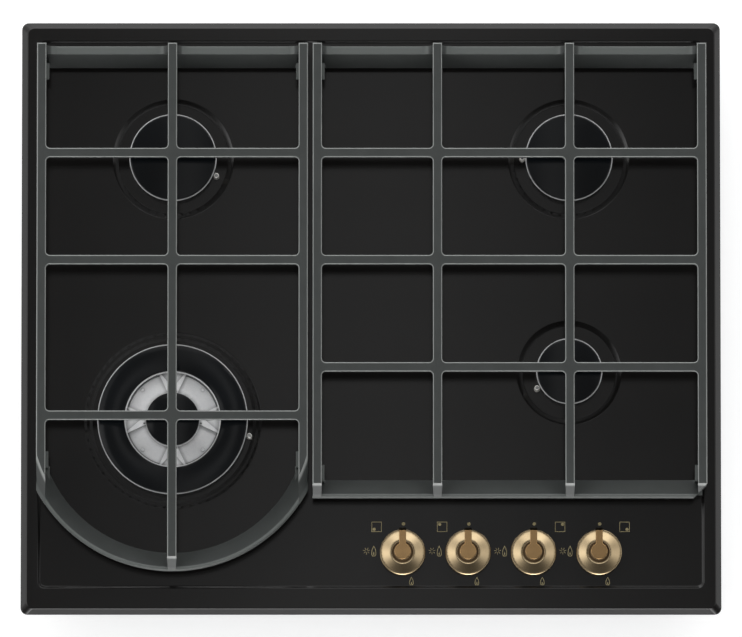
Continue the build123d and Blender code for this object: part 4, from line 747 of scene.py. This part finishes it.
# ---------------------------------------------------------------- floor, light and camera
# A white studio floor, a sky that is brighter at the sides and the rear than over the front,
# and a light panel overhead that is brightest along its middle.
floor_reach = 6.0
floor_glow = 0.62
floor_mesh = bpy.data.meshes.new("studio_floor")
square = [(-1, -1), (1, -1), (1, 1), (-1, 1)]
floor_mesh.from_pydata(
    [(x * floor_reach, y * floor_reach, 0) for x, y in square], [], [(0, 1, 2, 3)]
)
floor = bpy.data.objects.new("studio_floor", floor_mesh)
bpy.context.scene.collection.objects.link(floor)
white, tree, shader = new_finish("white_studio_floor", Roughness=0.9)
shader.inputs["Base Color"].default_value = linear("CFCFCF")
rays = add(tree, "ShaderNodeLightPath").outputs
seen = rays["Is Camera Ray"]
for kind in ("Is Glossy Ray", "Is Transmission Ray"):
    seen = add(tree, "ShaderNodeMath", {0: seen, 1: rays[kind]}, operation="MAXIMUM").outputs[0]
shader.inputs["Emission Color"].default_value = (1, 1, 1, 1)
glow = add(tree, "ShaderNodeMath", {0: seen, 1: floor_glow}, operation="MULTIPLY")
tree.links.new(glow.outputs[0], shader.inputs["Emission Strength"])
floor_mesh.materials.append(white)

# Diffuser cloth: an even white glow that falls off from the panel's middle to its sides.
panel_height = 1.6
panel_reach = 0.8
panel_glow = (0.2, 0.56)
panel_fall_off = 0.24
panel_mesh = bpy.data.meshes.new("overhead_panel")
panel_mesh.from_pydata(
    [(x * panel_reach, y * panel_reach, panel_height) for x, y in square], [], [(3, 2, 1, 0)]
)
panel = bpy.data.objects.new("overhead_panel", panel_mesh)
bpy.context.scene.collection.objects.link(panel)
panel.visible_camera = False
diffuser, tree, shader = new_finish("lit_diffuser_cloth", Roughness=0.9)
place = add(tree, "ShaderNodeTexCoord").outputs["Object"]
across = add(tree, "ShaderNodeSeparateXYZ", {0: place}).outputs["X"]
share = add(tree, "ShaderNodeMath", {0: across, 1: panel_fall_off}, operation="DIVIDE")
squared = add(tree, "ShaderNodeMath", {0: share.outputs[0], 1: 2.0}, operation="POWER")
falling = add(tree, "ShaderNodeMath", {0: squared.outputs[0], 1: -1.0}, operation="MULTIPLY")
middle = add(tree, "ShaderNodeMath", {0: falling.outputs[0]}, operation="EXPONENT")
strength = add(
    tree,
    "ShaderNodeMapRange",
    {"Value": middle.outputs[0], "To Min": panel_glow[0], "To Max": panel_glow[1]},
)
shader.inputs["Base Color"].default_value = linear("000000")
shader.inputs["Emission Color"].default_value = (1, 1, 1, 1)
tree.links.new(strength.outputs[0], shader.inputs["Emission Strength"])
panel_mesh.materials.append(diffuser)

# The sky goes from bright at the horizon to dim overhead and is dimmer over the front. Round
# glows add the studio's lamps: name, azimuth and elevation in degrees, strength and tightness.
sky_levels = (0.6, 0.2)
front_share = 0.12
front_edge = -0.7
glows = (
    ("left", 180, 48, 1.9, 26),
    ("right", 0, 48, 1.1, 26),
    ("rear_left", 116, 42, 1.6, 26),
    ("rear_right", 64, 42, 2.0, 26),
    ("rear_low", 90, 9, 2.4, 7),
    ("left_low", 180, 22, 0.6, 6),
    ("front_low", 270, 6, 8.0, 18),
)
world = bpy.data.worlds.new("studio_sky")
bpy.context.scene.world = world
world.use_nodes = True
sky = world.node_tree
direction = add(sky, "ShaderNodeTexCoord").outputs["Generated"]
parts = add(sky, "ShaderNodeSeparateXYZ", {0: direction}).outputs
height_share = add(
    sky,
    "ShaderNodeMapRange",
    {"Value": parts["Z"], "To Min": sky_levels[0], "To Max": sky_levels[1]},
)
rear_share = add(
    sky,
    "ShaderNodeMapRange",
    {"Value": parts["Y"], "From Min": front_edge, "From Max": 0.0, "To Min": front_share},
)
total = add(
    sky,
    "ShaderNodeMath",
    {0: height_share.outputs[0], 1: rear_share.outputs[0]},
    operation="MULTIPLY",
).outputs[0]
for label, azimuth, elevation, brightness, tightness in glows:
    turn, rise = radians(azimuth), radians(elevation)
    towards = (cos(rise) * cos(turn), cos(rise) * sin(turn), sin(rise))
    near = add(sky, "ShaderNodeVectorMath", {0: direction, 1: towards}, operation="DOT_PRODUCT")
    near.label = label
    short = add(sky, "ShaderNodeMath", {0: near.outputs["Value"], 1: 1.0}, operation="SUBTRACT")
    steep = add(sky, "ShaderNodeMath", {0: short.outputs[0], 1: tightness}, operation="MULTIPLY")
    lobe = add(sky, "ShaderNodeMath", {0: steep.outputs[0]}, operation="EXPONENT")
    level = add(sky, "ShaderNodeMath", {0: lobe.outputs[0], 1: brightness}, operation="MULTIPLY")
    sum_of_glows = {0: total, 1: level.outputs[0]}
    total = add(sky, "ShaderNodeMath", sum_of_glows, operation="ADD").outputs[0]
sky.links.new(total, sky.nodes["Background"].inputs["Strength"])
sky.nodes["Background"].inputs["Color"].default_value = (1, 1, 1, 1)

# A long lens far above the plate, tilted a little, keeps the plate's sides parallel.
sensor_width = 36.0
frame_width = 0.6364
distance = 10.0
tilt = radians(5.5)
aim = Vector((0, -0.6 * MM, deck_z))
camera_data = bpy.data.cameras.new("photo_camera")
camera_data.sensor_fit = "HORIZONTAL"
camera_data.sensor_width = sensor_width
camera_data.lens = sensor_width * distance / frame_width
camera_data.clip_end = 50
camera = bpy.data.objects.new("photo_camera", camera_data)
camera.location = aim + distance * Vector((0, -sin(tilt), cos(tilt)))
camera.rotation_euler = (tilt, 0, 0)
bpy.context.scene.collection.objects.link(camera)
bpy.context.scene.camera = camera
bpy.context.scene.view_settings.view_transform = "Standard"
